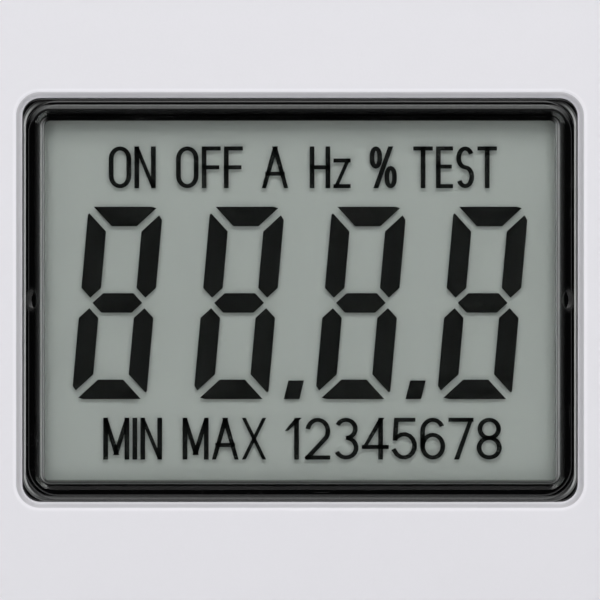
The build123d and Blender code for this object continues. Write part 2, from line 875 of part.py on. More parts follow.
def make_socket_cup():
    """Round socket insert: recess, guide ribs, funnelled pin holes and grooves for the earth strips."""
    cup = disc(cup_radius, cup_back_out, front_out + cup_proud)
    flange_front = inner_front_out - seat_gap
    cup += slab(cup_flange_sketch(), flange_front - cup_flange_thickness, flange_front)
    cup -= disc(socket_radius, socket_floor_out, front_out + cup_proud + overrun)
    rim = cup.faces().sort_by(Axis.Y)[0].edges()
    cup = fillet(rim, cup_rim_radius)
    rib_length = guide_rib_reach + cup_wall / 2
    for way in (-1, 1):
        centre = way * (socket_radius - guide_rib_reach + rib_length / 2)
        rib = block(rib_length, guide_rib_width, socket_floor_out, front_out - guide_rib_drop, centre)
        crown = rib.faces().sort_by(Axis.Y)[0].edges().filter_by(Axis.Z)
        inner_edge = min(crown, key=lambda edge: abs(edge.center().X))
        rib = fillet(inner_edge, guide_rib_round)
        cup += rib
    for way in (-1, 1):
        cup -= disc(pin_hole_radius, cup_back_out - overrun, front_out, way * pin_side)
        place = Pos(way * pin_side, 0)
        cup -= tapered_hole(place * Circle(pin_hole_radius + pin_hole_funnel), socket_floor_out,
                            place * Circle(pin_hole_radius), socket_floor_out - pin_hole_funnel)
    groove_low = earth_line_in_cup - earth_thickness / 2 - earth_groove_gap
    groove_high = earth_line_in_cup + earth_thickness / 2 + earth_groove_gap
    groove_width = earth_width + 2 * earth_groove_gap
    for way in (-1, 1):
        cup -= block(groove_width, groove_high - groove_low, cup_back_out - overrun,
                     front_out - earth_end_drop + earth_thickness, 0, way * (groove_low + groove_high) / 2)
    return cup


def shutter_sketch():
    """The shutter's plan: a hub and two arms that cover the pin holes."""
    plan = Circle(shutter_hub_radius)
    half = radians(shutter_cover_angle)
    for way in (-1, 1):
        tip = [(way * shutter_radius * cos(half), shutter_radius * sin(half)),
               (way * shutter_radius, 0),
               (way * shutter_radius * cos(half), -shutter_radius * sin(half))]
        root = [(way * shutter_hub_radius * cos(half) / 2, shutter_hub_radius * sin(half) / 2),
                (way * shutter_hub_radius * cos(half) / 2, -shutter_hub_radius * sin(half) / 2)]
        outline = Polyline(tip[2], root[1], root[0], tip[0]) + ThreePointArc(*tip)
        plan += make_face(outline)
    return plan


def make_shutter():
    """Turning shutter on a bored hub: each arm has a ramp that an entering plug pin slides down."""
    shutter = slab(shutter_sketch(), shutter_back_out, shutter_front_out)
    bore = shutter_post_radius + shutter_bore_gap
    shutter -= disc(bore, shutter_back_out - overrun, shutter_front_out + overrun)
    top = shutter_front_out
    ramp_profile = [
        (-top, shutter_ramp_start),
        (-top + shutter_ramp_depth, shutter_ramp_end),
        (-top - overrun, shutter_ramp_end),
        (-top - overrun, shutter_ramp_start),
    ]
    ramp = extrude(Plane.YZ.offset(shutter_hub_radius) * polygon(ramp_profile), amount=shutter_radius)
    return shutter - ramp - Rot(0, 180, 0) * ramp


def make_shutter_spring():
    """Small torsion spring round the shutter's post, in one unbroken wire with two straight legs."""
    coil = Helix(pitch=spring_pitch, height=spring_turns * spring_pitch, radius=spring_radius)
    wire = Pos(0, -spring_start_out, 0) * Rot(90, 0, 0) * coil
    section = Circle(spring_wire / 2)
    spring = sweep(Plane(origin=wire @ 0, z_dir=wire % 0) * section, path=wire, is_frenet=True)
    for end, way in ((0, -1), (1, 1)):
        leg = Plane(origin=wire @ end, z_dir=(wire % end) * way) * section
        spring += extrude(leg, amount=spring_leg)
    return spring


def make_contact_carrier():
    """Round insulating block that holds the contacts and carries the shutter's post."""
    carrier = disc(carrier_radius, plug_flange_out, carrier_front_out)
    pocket_floor_out = spring_start_out - spring_leg_rise - spring_wire / 2 - seat_gap
    carrier -= block(2 * (spring_radius + spring_wire / 2 + spring_pocket_gap),
                     2 * (spring_leg + spring_pocket_gap), pocket_floor_out, carrier_front_out)
    carrier += disc(shutter_post_radius, pocket_floor_out, cup_back_out)
    rim = Circle(carrier_radius) - Circle(carrier_radius - carrier_rim)
    carrier += slab(rim, carrier_front_out, cup_back_out)
    room = 2 * (contact_outer_radius + contact_pocket_gap)
    bar_room = busbar_width + 2 * contact_pocket_gap
    bar_room_rise = carrier_radius + bar_room / 2
    bar_room_out = plug_flange_out + busbar_setback + busbar_thickness + contact_pocket_gap
    for way in (-1, 1):
        carrier -= block(room, room, plug_flange_out - overrun, carrier_front_out + overrun, way * pin_side)
        carrier -= block(bar_room, bar_room_rise, plug_flange_out - overrun, bar_room_out,
                         way * busbar_centre, (bar_room_rise - bar_room) / 2)
    return carrier


def make_contact(way):
    """Spring sleeve for one plug pin, with the strap and foot plate that join it to the pin behind."""
    front = carrier_front_out - contact_setback
    back = plug_flange_out + contact_setback
    ring = Circle(contact_outer_radius) - Circle(contact_inner_radius)
    slit = Pos(-way * contact_outer_radius, 0) * Rectangle(2 * contact_outer_radius, contact_slit)
    sleeve = slab(Pos(way * pin_side, 0) * (ring - slit), back, front)
    foot_out = plug_face + pin_tail
    strap = block(strap_thickness, strap_width, foot_out, back + strap_width, way * strap_side)
    foot_centre = way * (strap_side + strap_thickness / 2 - foot_plate_length / 2)
    foot = block(foot_plate_length, strap_width, foot_out, foot_out + strap_thickness, foot_centre)
    pin_path = disc(contact_inner_radius, foot_out + strap_thickness, front, way * pin_side)
    return sleeve + strap + foot - pin_path


def make_busbar(way):
    """Bent flat bar from a contact's strap, up behind the socket cup and forward to the board."""
    start = plug_flange_out + busbar_setback
    end = start + busbar_thickness
    rise = busbar_top + busbar_width / 2
    centre = way * busbar_centre
    upright = block(busbar_width, rise, start, end, centre, busbar_top - rise / 2)
    tab = block(busbar_width, busbar_thickness, start, board_back_out, centre,
                busbar_top - busbar_thickness / 2)
    return upright + tab


def make_plug_base():
    """Round plug body with side notches, earth grooves, pin holes and a flange inside the shell."""
    base = disc(plug_radius, 0, inner_rear_out)
    base = fillet(base.faces().sort_by(Axis.Y)[-1].edges(), plug_edge_radius)
    base += disc(plug_radius + plug_flange_width, inner_rear_out, plug_flange_out)
    for way in (-1, 1):
        notch_centre = way * plug_radius
        base -= block(2 * plug_notch_depth, plug_notch_width, -overrun, rear_out, notch_centre)
        groove = earth_width + 2 * earth_groove_gap
        floor = earth_line_on_plug - earth_thickness / 2
        depth = plug_radius + plug_flange_width + overrun - floor
        base -= block(groove, depth, -overrun, plug_flange_out + overrun, 0, way * (floor + depth / 2))
        base -= disc(pin_shank_radius, -overrun, plug_face + overrun, way * pin_side)
        base -= disc(pin_collar_radius, plug_face - pin_collar_thickness, plug_face + overrun,
                     way * pin_side)
    hollow = RectangleRounded(plug_hollow_width, plug_hollow_height, plug_hollow_corner)
    return base - slab(hollow, plug_face, plug_flange_out + overrun)


def make_pin(way):
    """One plug pin with a rounded tip, a slimmer shank through the plug's face and a collar behind it."""
    pin = disc(pin_radius, -pin_length, 0, way * pin_side)
    pin = fillet(pin.faces().sort_by(Axis.Y)[-1].edges(), pin_tip_radius)
    pin += disc(pin_shank_radius, 0, plug_face + pin_tail, way * pin_side)
    return pin + disc(pin_collar_radius, plug_face - pin_collar_thickness, plug_face, way * pin_side)


def make_earth_strip(way):
    """One earth contact: flush in the plug's side, through the housing, then bowed into the socket."""
    low = way * earth_line_on_plug
    high = way * earth_line_in_cup
    bulge = way * (earth_line_in_cup - earth_bulge_reach)
    bulge_out = socket_floor_out + earth_bulge_start
    flat_out = bulge_out + earth_bulge_length
    end_out = front_out - earth_end_drop
    stations = [
        (low, earth_start),
        (low, earth_kick_start),
        (high, earth_kick_start + earth_kick_length),
        (high, bulge_out),
        (bulge, flat_out),
        (bulge, flat_out + earth_bulge_flat),
        (high, end_out),
    ]
    path = FilletPolyline(*[(0, -out, height) for height, out in stations], radius=earth_bend_radius)
    section = Plane(origin=path @ 0, x_dir=(1, 0, 0), z_dir=path % 0)
    return sweep(section * Rectangle(earth_width, earth_thickness), path=path)


def make_earth_bridge():
    """Half ring that joins the two earth strips round the contact carrier."""
    inner = plug_radius + bridge_gap
    outer = inner + bridge_width
    ring = Circle(outer) - Circle(inner)
    ring -= Pos(outer, 0) * Rectangle(2 * outer, 2 * outer)
    top = plug_flange_out + bridge_thickness
    bridge = slab(ring, plug_flange_out, top)
    strip_face = earth_line_on_plug + earth_thickness / 2
    for way in (-1, 1):
        bridge += block(earth_width, outer - strip_face, plug_flange_out, top, 0,
                        way * (outer + strip_face) / 2)
    return bridge


def cell_places():
    """The two button cells' centres, as x."""
    return (-cell_spacing / 2, cell_spacing / 2)


def make_battery_cells():
    """Two button cells, each with a raised cap on one side."""
    start = rear_out + cover_thickness + cell_plate_thickness + seat_gap
    height = bay_above_plug + cell_raise
    cells = []
    for side in cell_places():
        cell = disc(cell_radius, start, start + cell_height - cell_rim_height, side, height)
        cap = disc(cell_radius - cell_rim_inset, start, start + cell_height, side, height)
        cells.append(cell + cap)
    return Compound(cells)


def make_battery_contacts():
    """Two plates on the pocket's floor, one under each cell."""
    height = bay_above_plug + cell_raise
    return Compound([
        block(cell_plate_width, cell_plate_width, bay_floor_out - cell_plate_thickness, bay_floor_out,
              side, height)
        for side in cell_places()
    ])


def make_battery_link():
    """Plate on the cover's inner face that joins the two cells."""
    start = rear_out + cover_thickness
    return block(cell_spacing + cell_plate_width, cell_plate_width, start, start + cell_plate_thickness,
                 0, bay_above_plug + cell_raise)


def make_mains_capacitor():
    """Boxed capacitor that drops the mains voltage."""
    width, height, depth = capacitor_size
    side, up = place_on_board(capacitor_place_shares)
    box = block(width, height, board_back_out - depth, board_back_out, side, up)
    return fillet(box.faces().sort_by(Axis.Y)[-1].edges(), capacitor_edge_radius)


def make_smoothing_capacitor():
    """Round can capacitor, standing on the board."""
    side, up = place_on_board(smoothing_place_shares)
    can = disc(smoothing_radius, board_back_out - smoothing_length, board_back_out, side, up)
    return fillet(can.edges().filter_by(GeomType.CIRCLE), smoothing_edge_radius)


def make_varistor():
    """Disc varistor on edge beside the capacitor."""
    side, up = place_on_board(varistor_place_shares)
    turned = Pos(side, -(board_back_out - varistor_radius), up) * Rot(0, 90, 0)
    body = turned * Cylinder(varistor_radius, varistor_thickness)
    return fillet(body.edges().filter_by(GeomType.CIRCLE), varistor_thickness / 4)


def make_fuse():
    """Glass-tube fuse lying on the board with its end caps."""
    side, up = place_on_board(fuse_place_shares)
    centre = Pos(side, -(board_back_out - fuse_radius - fuse_lift), up)
    tube = centre * Rot(0, 90, 0) * Cylinder(fuse_radius, fuse_length)
    cap_side = (fuse_length - fuse_radius) / 2
    for way in (-1, 1):
        cap = Pos(way * cap_side, 0, 0) * centre * Rot(0, 90, 0)
        tube += cap * Cylinder(fuse_radius + fuse_lift, fuse_radius)
    return tube


def make_metering_chip():
    """Metering chip with a row of bent legs on each side."""
    width, height, depth = chip_size
    side, up = place_on_board(chip_place_shares)
    leg_width, leg_reach, leg_depth = chip_leg_size
    chip = block(width, height, board_back_out - depth, board_back_out - leg_depth / 2, side, up)
    for index in range(chip_leg_count):
        along = side + (index - (chip_leg_count - 1) / 2) * chip_leg_pitch
        for way in (-1, 1):
            centre = up + way * (height + leg_reach) / 2
            chip += block(leg_width, leg_reach, board_back_out - leg_depth, board_back_out, along, centre)
    return chip


def make_controller_blob():
    """Resin dome over the display controller, on the board's back."""
    side, up = place_on_board(blob_place_shares)
    ball_radius = (blob_radius**2 + blob_height**2) / (2 * blob_height)
    centre_out = board_back_out + ball_radius - blob_height
    ball = Pos(side, -centre_out, up) * Sphere(ball_radius)
    return ball & disc(blob_radius + overrun, board_back_out - blob_height - overrun, board_back_out,
                       side, up)


def make_crystal():
    """Flat metal crystal can."""
    width, height, depth = crystal_size
    side, up = place_on_board(crystal_place_shares)
    can = slab(Pos(side, up) * SlotOverall(width, height), board_back_out - depth, board_back_out)
    return fillet(can.faces().sort_by(Axis.Y)[-1].edges(), height / 8)


def make_shunt():
    """Bent wire shunt that the load current passes through."""
    side, up = place_on_board(shunt_place_shares)
    low = board_back_out
    high = board_back_out - shunt_rise
    ends = (side - shunt_span / 2, side + shunt_span / 2)
    path = FilletPolyline(
        (ends[0], -low, up), (ends[0], -high, up), (ends[1], -high, up), (ends[1], -low, up),
        radius=shunt_bend_radius,
    )
    section = Plane(origin=path @ 0, z_dir=path % 0) * Circle(shunt_wire / 2)
    return sweep(section, path=path)


def all_parts():
    """Every node's name and shape."""
    parts = {
        "front_shell": make_front_shell(),
        "rear_shell": make_rear_shell(),
        "housing_screws": make_housing_screws(),
        "window_bezel": make_window_bezel(),
        "window_lens": make_window_lens(),
        "lcd_polariser": make_lcd_polariser(),
        "lcd_front_glass": make_lcd_front_glass(),
        "lcd_seal": make_lcd_seal(),
        "lcd_segments": make_lcd_segments(),
        "lcd_rear_glass": make_lcd_rear_glass(),
        "lcd_reflector": make_lcd_reflector(),
        "lcd_holder": make_lcd_holder(),
        "connector_strips": make_connector_strips(),
        "circuit_board": make_circuit_board(),
        "board_screws": make_board_screws(),
        "tact_switches": make_switches(),
        "socket_cup": make_socket_cup(),
        "shutter": make_shutter(),
        "shutter_spring": make_shutter_spring(),
        "contact_carrier": make_contact_carrier(),
        "live_contact": make_contact(-1),
        "neutral_contact": make_contact(1),
        "plug_base": make_plug_base(),
        "live_pin": make_pin(-1),
        "neutral_pin": make_pin(1),
        "earth_strip_top": make_earth_strip(1),
        "earth_strip_bottom": make_earth_strip(-1),
        "earth_bridge": make_earth_bridge(),
        "battery_cover": make_battery_cover(),
        "battery_cover_screw": make_cover_screw(),
        "battery_link": make_battery_link(),
        "battery_cells": make_battery_cells(),
        "battery_contacts": make_battery_contacts(),
        "mains_capacitor": make_mains_capacitor(),
        "smoothing_capacitor": make_smoothing_capacitor(),
        "varistor": make_varistor(),
        "fuse": make_fuse(),
        "metering_chip": make_metering_chip(),
        "controller_blob": make_controller_blob(),
        "crystal": make_crystal(),
        "shunt": make_shunt(),
        "live_busbar": make_busbar(-1),
        "neutral_busbar": make_busbar(1),
    }
    for name, side in button_places().items():
        parts[f"button_{name}"] = make_button(side)
        parts[f"plunger_{name}"] = make_plunger(side)
    return parts


def main():
    """Writes one STEP file for each node."""
    os.makedirs("parts", exist_ok=True)
    for name, shape in all_parts().items():
        export_step(shape, os.path.join("parts", name + ".step"))


main()
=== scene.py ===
"""Looks of a plug-in energy monitor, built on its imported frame.

Everything is in metres in the frame's own axes: +X to the right seen from the room, -Y towards the
room, +Z up. Each operator finishes one group of pieces, and the stage operator sets floor, lamps and
camera. Finishes are procedural and read object coordinates, so they travel with their pieces.
"""
import itertools
import math

import bmesh
import bpy
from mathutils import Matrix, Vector


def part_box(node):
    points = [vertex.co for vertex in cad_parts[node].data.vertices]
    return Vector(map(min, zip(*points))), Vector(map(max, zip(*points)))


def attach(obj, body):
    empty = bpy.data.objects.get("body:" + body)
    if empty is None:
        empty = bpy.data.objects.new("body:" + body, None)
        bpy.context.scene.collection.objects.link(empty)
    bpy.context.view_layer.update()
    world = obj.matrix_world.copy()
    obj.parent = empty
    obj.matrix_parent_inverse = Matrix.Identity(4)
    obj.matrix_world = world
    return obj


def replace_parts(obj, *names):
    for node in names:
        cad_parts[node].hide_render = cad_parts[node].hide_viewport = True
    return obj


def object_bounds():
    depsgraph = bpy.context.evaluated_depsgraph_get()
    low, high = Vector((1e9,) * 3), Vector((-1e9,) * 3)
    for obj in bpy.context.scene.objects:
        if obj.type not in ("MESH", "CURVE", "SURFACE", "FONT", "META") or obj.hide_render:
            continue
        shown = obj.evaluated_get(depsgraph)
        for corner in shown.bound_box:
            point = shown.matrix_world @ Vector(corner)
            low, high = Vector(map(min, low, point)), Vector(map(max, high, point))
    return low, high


bl_info = {
    "name": "Plug-in Energy Monitor",
    "version": (1, 0, 0),
    "blender": (4, 5, 0),
    "location": "View3D > Sidebar > Energy Monitor",
    "description": "Finishes, display signs and studio for a plug-in energy monitor",
    "category": "Object",
}

MM = 0.001
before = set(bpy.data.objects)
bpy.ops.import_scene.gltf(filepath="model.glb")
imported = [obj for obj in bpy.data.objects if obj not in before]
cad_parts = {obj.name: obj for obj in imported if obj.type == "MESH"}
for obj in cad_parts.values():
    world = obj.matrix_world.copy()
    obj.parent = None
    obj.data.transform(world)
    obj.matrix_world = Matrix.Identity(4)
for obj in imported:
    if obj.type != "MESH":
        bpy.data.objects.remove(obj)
cad_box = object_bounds()
lens_low, lens_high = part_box("window_lens")
window_centre = (lens_low + lens_high) / 2
face_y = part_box("front_shell")[0].y
lens_corner = 0.9 * MM


class HousingSettings(bpy.types.PropertyGroup):
    """Colours of the mouldings, and the texture of the shells."""

    colour: bpy.props.FloatVectorProperty(
        name="Housing colour", description="Pale grey of the two shells", subtype="COLOR",
        default=(0.715, 0.708, 0.745), min=0, max=1)
    socket_colour: bpy.props.FloatVectorProperty(
        name="Socket colour", description="Grey of the socket insert and the plug", subtype="COLOR",
        default=(0.66, 0.655, 0.69), min=0, max=1)
    button_colour: bpy.props.FloatVectorProperty(
        name="Button colour", description="Dark grey of the three buttons", subtype="COLOR",
        default=(0.06, 0.063, 0.07), min=0, max=1)
    roughness: bpy.props.FloatProperty(
        name="Roughness", description="Roughness of the textured shells", subtype="FACTOR",
        default=0.5, min=0, max=1)
    grain_size: bpy.props.FloatProperty(
        name="Grain size", description="Width of one bump of the moulded texture",
        subtype="DISTANCE", unit="LENGTH", default=0.22 * MM, min=0.01 * MM)
    grain_depth: bpy.props.FloatProperty(
        name="Grain depth", description="Height of the moulded texture",
        subtype="DISTANCE", unit="LENGTH", default=0.006 * MM, min=0)


class DisplaySettings(bpy.types.PropertyGroup):
    """Colours of the display and the layout of its signs."""

    reflector_colour: bpy.props.FloatVectorProperty(
        name="Background colour", description="Grey-green of the film behind the display",
        subtype="COLOR", default=(0.672, 0.688, 0.68), min=0, max=1)
    segment_colour: bpy.props.FloatVectorProperty(
        name="Sign colour", description="Colour of a switched segment", subtype="COLOR",
        default=(0.0158, 0.0168, 0.0163), min=0, max=1)
    bezel_colour: bpy.props.FloatVectorProperty(
        name="Frame colour", description="Polished black of the window's frame", subtype="COLOR",
        default=(0.0012, 0.0012, 0.0013), min=0, max=1)
    pane_gap: bpy.props.FloatProperty(
        name="Pane gap", description="Air left between a pane and its neighbours",
        subtype="DISTANCE", unit="LENGTH", default=0.02 * MM, min=0)
    cap_height: bpy.props.FloatProperty(
        name="Sign height", description="Height of a capital in the rows of signs",
        subtype="DISTANCE", unit="LENGTH", default=3.72 * MM, min=0)
    top_row: bpy.props.FloatProperty(
        name="Top row", description="Foot of the top row above the window's centre",
        subtype="DISTANCE", unit="LENGTH", default=9.95 * MM)
    bottom_row: bpy.props.FloatProperty(
        name="Bottom row", description="Foot of the bottom row above the window's centre",
        subtype="DISTANCE", unit="LENGTH", default=-14.2 * MM)
    stroke: bpy.props.FloatProperty(
        name="Stroke", description="Width of the upright lines that the signs are drawn with",
        subtype="DISTANCE", unit="LENGTH", default=0.425 * MM, min=0.05 * MM)
    stress: bpy.props.FloatProperty(
        name="Stress", description="How much wider upright lines are than level ones",
        subtype="FACTOR", default=1.16, min=0.5, max=2)


class StudioSettings(bpy.types.PropertyGroup):
    """Camera and light."""

    camera_distance: bpy.props.FloatProperty(
        name="Camera distance", description="From the lens to the housing's front face",
        subtype="DISTANCE", unit="LENGTH", default=0.4, min=0.1)
    view_width: bpy.props.FloatProperty(
        name="View width", description="Width of the housing's face that the picture takes in",
        subtype="DISTANCE", unit="LENGTH", default=52.9 * MM, min=1 * MM)
    key_angle: bpy.props.FloatProperty(
        name="Key angle", description="How far the key lamp stands above the camera's line",
        subtype="ANGLE", unit="ROTATION", default=math.radians(36))
    key_power: bpy.props.FloatProperty(
        name="Key power", description="Power of the key lamp", unit="POWER", default=1.85, min=0)
    fill_power: bpy.props.FloatProperty(
        name="Fill power", description="Power of the soft lamp around the camera", unit="POWER",
        default=0.75, min=0)
    side_power: bpy.props.FloatProperty(
        name="Side power", description="Power of each soft lamp at the side", unit="POWER",
        default=0.55, min=0)
    back_power: bpy.props.FloatProperty(
        name="Back power", description="Power of the soft lamp behind the object", unit="POWER",
        default=2.1, min=0)
    ambient: bpy.props.FloatProperty(
        name="Room light", description="Brightness of the room around the object",
        subtype="FACTOR", default=0.27, min=0)


class Wiring:
    """Adds shader nodes to one tree and joins them."""

    def __init__(self, tree):
        self.nodes = tree.nodes
        self.links = tree.links

    def add(self, kind, sockets=None, **properties):
        """A new node; each socket takes a number, a colour or another node's output."""
        node = self.nodes.new(kind)
        for name, value in properties.items():
            setattr(node, name, value)
        for key, value in (sockets or {}).items():
            if isinstance(value, bpy.types.NodeSocket):
                self.links.new(value, node.inputs[key])
            else:
                node.inputs[key].default_value = value
        return node

    def math(self, operation, first, second=0.0, clamp=False):
        """The output of a Math node."""
        return self.add("ShaderNodeMath", {0: first, 1: second}, operation=operation,
                        use_clamp=clamp).outputs[0]

    def plus(self, first, second, clamp=False):
        """The sum of two values."""
        return self.math("ADD", first, second, clamp)

    def minus(self, first, second):
        """The first value less the second."""
        return self.math("SUBTRACT", first, second)

    def most(self, first, second):
        """The greater of two values."""
        return self.math("MAXIMUM", first, second)

    def less(self, first, second):
        """One where the first value is less than the second, else nought."""
        return self.math("LESS_THAN", first, second)

    def away(self, value, middle):
        """How far a value is from a middle, either way."""
        return self.math("ABSOLUTE", self.minus(value, middle))

    def times(self, *factors):
        """The product of the values."""
        product = factors[0]
        for factor in factors[1:]:
            product = self.math("MULTIPLY", product, factor)
        return product

    def diagonal(self, first, second):
        """The straight distance over two distances at a right angle."""
        squares = self.plus(self.times(first, first), self.times(second, second))
        return self.math("SQRT", squares)

    def mix(self, factor, first, second):
        """The number output of a Mix node."""
        return self.add("ShaderNodeMix", {0: factor, 2: first, 3: second}).outputs[0]

    def blend(self, factor, first, second):
        """The colour output of a Mix node."""
        return self.add("ShaderNodeMix", {0: factor, 6: first, 7: second},
                        data_type="RGBA").outputs[2]

    def scaled(self, colour, tone):
        """A colour made lighter or darker by a tone."""
        return self.add("ShaderNodeVectorMath", {0: colour, "Scale": tone},
                        operation="SCALE").outputs[0]

    def place(self):
        """Metres in the frame's axes, which travel with the piece."""
        return self.add("ShaderNodeTexCoord").outputs["Object"]

    def axes(self):
        """The place along X, Y and Z."""
        return self.add("ShaderNodeSeparateXYZ", {0: self.place()}).outputs

    def stretched(self, scale):
        """The place stretched by a scale along each axis."""
        return self.add("ShaderNodeMapping", {"Vector": self.place(), "Scale": scale}).outputs[0]

    def noise(self, place, scale, detail=2.0, roughness=0.5):
        """The factor output of a noise texture."""
        return self.add("ShaderNodeTexNoise", {"Vector": place, "Scale": scale, "Detail": detail,
                                               "Roughness": roughness}).outputs[0]

    def window(self, value, low, high, first=0.0, last=1.0):
        """The value mapped from low..high to first..last and held there."""
        return self.add("ShaderNodeMapRange", {"Value": value, "From Min": low, "From Max": high,
                                               "To Min": first, "To Max": last}).outputs[0]


def wire_grain(wires, given):
    """Fine moulded or cast texture: height, and a slight change of tone."""
    fine = wires.noise(wires.place(), given["Scale"], 3.0)
    coarse = wires.noise(wires.place(), wires.times(given["Scale"], 0.21))
    height = wires.mix(0.3, fine, coarse)
    swing = wires.times(wires.minus(height, 0.5), given["Contrast"])
    return {"Height": height, "Tone": wires.plus(swing, 1.0)}


def wire_smudges(wires, given):
    """Wide soft patches left by hands and wiping: a change of roughness."""
    patches = wires.noise(wires.place(), given["Scale"], 4.0, 0.6)
    wiped = wires.noise(wires.stretched((9.0, 1.0, 2.0)), given["Scale"], 3.0)
    change = wires.minus(wires.times(patches, wiped), 0.25)
    return {"Roughness": wires.times(change, given["Amount"])}


def wire_edge_wear(wires, given):
    """Mask of outer edges that handling has rubbed."""
    rounded = wires.add("ShaderNodeBevel", {"Radius": given["Radius"]}, samples=4).outputs[0]
    flat = wires.add("ShaderNodeNewGeometry").outputs["Normal"]
    facing = wires.add("ShaderNodeVectorMath", {0: rounded, 1: flat}, operation="DOT_PRODUCT")
    edge = wires.window(facing.outputs["Value"], 0.995, 0.86)
    breakup = wires.window(wires.noise(wires.place(), given["Breakup"], 3.0), 0.35, 0.65)
    return {"Mask": wires.times(edge, breakup)}


def wire_dust(wires, given):
    """Mask of dust that settles on what faces up, with specks everywhere."""
    normal = wires.add("ShaderNodeNewGeometry").outputs["Normal"]
    up = wires.add("ShaderNodeSeparateXYZ", {0: normal}).outputs["Z"]
    film = wires.times(wires.window(up, 0.2, 1.0), wires.noise(wires.place(), 350.0, 3.0))
    cells = wires.add("ShaderNodeTexVoronoi", {"Vector": wires.place(), "Scale": 900.0})
    specks = wires.window(cells.outputs["Distance"], 0.04, 0.015)
    return {"Mask": wires.most(wires.times(film, given["Settled"]),
                               wires.times(specks, given["Specks"]))}


def wire_scratches(wires, given):
    """Fine straight scratches each way: height and mask."""
    lines = [wires.noise(wires.stretched(along), given["Scale"])
             for along in ((1.0, 1.0, 0.035), (0.035, 1.0, 1.0))]
    deep = wires.math("GREATER_THAN", wires.most(*lines), 0.69)
    patch = wires.window(wires.noise(wires.place(), 160.0, 1.0), 0.5, 0.62)
    mask = wires.times(deep, patch, given["Reach"])
    return {"Height": wires.times(mask, -1.0), "Mask": mask}


def wire_brushing(wires, given):
    """Drawn or brushed metal, with lines along one axis set by its stretch values."""
    stretch = wires.add("ShaderNodeCombineXYZ", {0: given["Along X"], 1: given["Along Y"],
                                                 2: given["Along Z"]}).outputs[0]
    place = wires.add("ShaderNodeVectorMath", {0: wires.place(), 1: stretch}, operation="MULTIPLY")
    lines = wires.noise(place.outputs[0], given["Scale"], 3.0, 0.6)
    return {"Height": lines, "Tone": wires.window(lines, 0.2, 0.8)}


def wire_tarnish(wires, given):
    """Mask of dull patches on metal."""
    patches = wires.noise(wires.place(), given["Scale"], 5.0, 0.65)
    low = wires.minus(0.85, given["Cover"])
    return {"Mask": wires.window(patches, low, wires.plus(low, 0.3))}


def wire_rim(wires, given):
    """Distance outside the lens's outline, and how far the nearest side faces left or right."""
    x, _, z = wires.axes()
    half = (lens_high - lens_low) / 2
    reaches = []
    for place, middle, reach in ((x, 0.0, half.x), (z, window_centre.z, half.z)):
        past = wires.minus(wires.away(place, middle), reach)
        reaches.append(wires.plus(past, given["Corner"]))
    past_x, past_z = [wires.most(reach, 0.0) for reach in reaches]
    far = wires.diagonal(past_x, past_z)
    inner = wires.math("MINIMUM", wires.most(*reaches), 0.0)
    outside = wires.minus(wires.plus(far, inner), given["Corner"])
    sideways = wires.math("DIVIDE", past_x, wires.most(far, 0.01 * MM))
    return {"Outside": outside, "Sideways": sideways}


# Each effect that materials share: its node group's name, its function, and its inputs
EFFECTS = {
    "grain": ("Moulded Grain", wire_grain, {"Scale": 5000.0, "Contrast": 0.03}),
    "smudges": ("Smudges", wire_smudges, {"Scale": 60.0, "Amount": 0.1}),
    "wear": ("Edge Wear", wire_edge_wear, {"Radius": 0.3 * MM, "Breakup": 900.0}),
    "dust": ("Dust", wire_dust, {"Settled": 0.15, "Specks": 0.3}),
    "scratches": ("Fine Scratches", wire_scratches, {"Scale": 7000.0, "Reach": 0.02}),
    "brushing": ("Drawn Metal", wire_brushing, {"Scale": 4000.0, "Along X": 1.0, "Along Y": 0.03,
                                                "Along Z": 1.0}),
    "tarnish": ("Tarnish", wire_tarnish, {"Scale": 300.0, "Cover": 0.5}),
    "rim": ("Window Rim", wire_rim, {"Corner": lens_corner}),
}
groups = {}


def make_group(title, wire_up, inputs):
    """A shader node group with number sockets, filled by one of the functions above."""
    tree = bpy.data.node_groups.new(title, "ShaderNodeTree")
    for name, default in inputs.items():
        socket = tree.interface.new_socket(name=name, in_out="INPUT", socket_type="NodeSocketFloat")
        socket.default_value = default
    wires = Wiring(tree)
    results = wire_up(wires, wires.add("NodeGroupInput").outputs)
    for name in results:
        tree.interface.new_socket(name=name, in_out="OUTPUT", socket_type="NodeSocketFloat")
    wires.add("NodeGroupOutput", results)
    return tree


def effect(wires, name, **values):
    """Places a shared effect in a material with its own values, and returns its outputs."""
    if name not in groups:
        groups[name] = make_group(*EFFECTS[name])
    node = wires.add("ShaderNodeGroup", node_tree=groups[name])
    for key, value in values.items():
        node.inputs[key.replace("_", " ").title()].default_value = value
    return node.outputs


def new_material(name, roughness, metallic=0.0):
    """A material with one Principled shader: the material, its wiring and the shader's inputs."""
    material = bpy.data.materials.new(name)
    material.use_nodes = True
    material.node_tree.nodes.clear()
    wires = Wiring(material.node_tree)
    shader = wires.add("ShaderNodeBsdfPrincipled", {"Roughness": roughness, "Metallic": metallic})
    wires.add("ShaderNodeOutputMaterial", {"Surface": shader.outputs[0]})
    return material, wires, shader.inputs


def rgba(colour, tone=1.0):
    """A colour with alpha, made lighter or darker by tone."""
    return tuple(min(1.0, part * tone) for part in colour) + (1.0,)


def vary_roughness(wires, inputs, change):
    """Adds a change over the surface to the roughness that the shader was given."""
    socket = inputs["Roughness"]
    wires.links.new(wires.plus(change, socket.default_value, clamp=True), socket)


def feed(wires, inputs, colour, change, height, distance):
    """Feeds a shader its colour, its change of roughness and a height in metres per unit."""
    wires.links.new(colour, inputs["Base Color"])
    vary_roughness(wires, inputs, change)
    bump = wires.add("ShaderNodeBump", {"Height": height, "Distance": distance})
    wires.links.new(bump.outputs[0], inputs["Normal"])


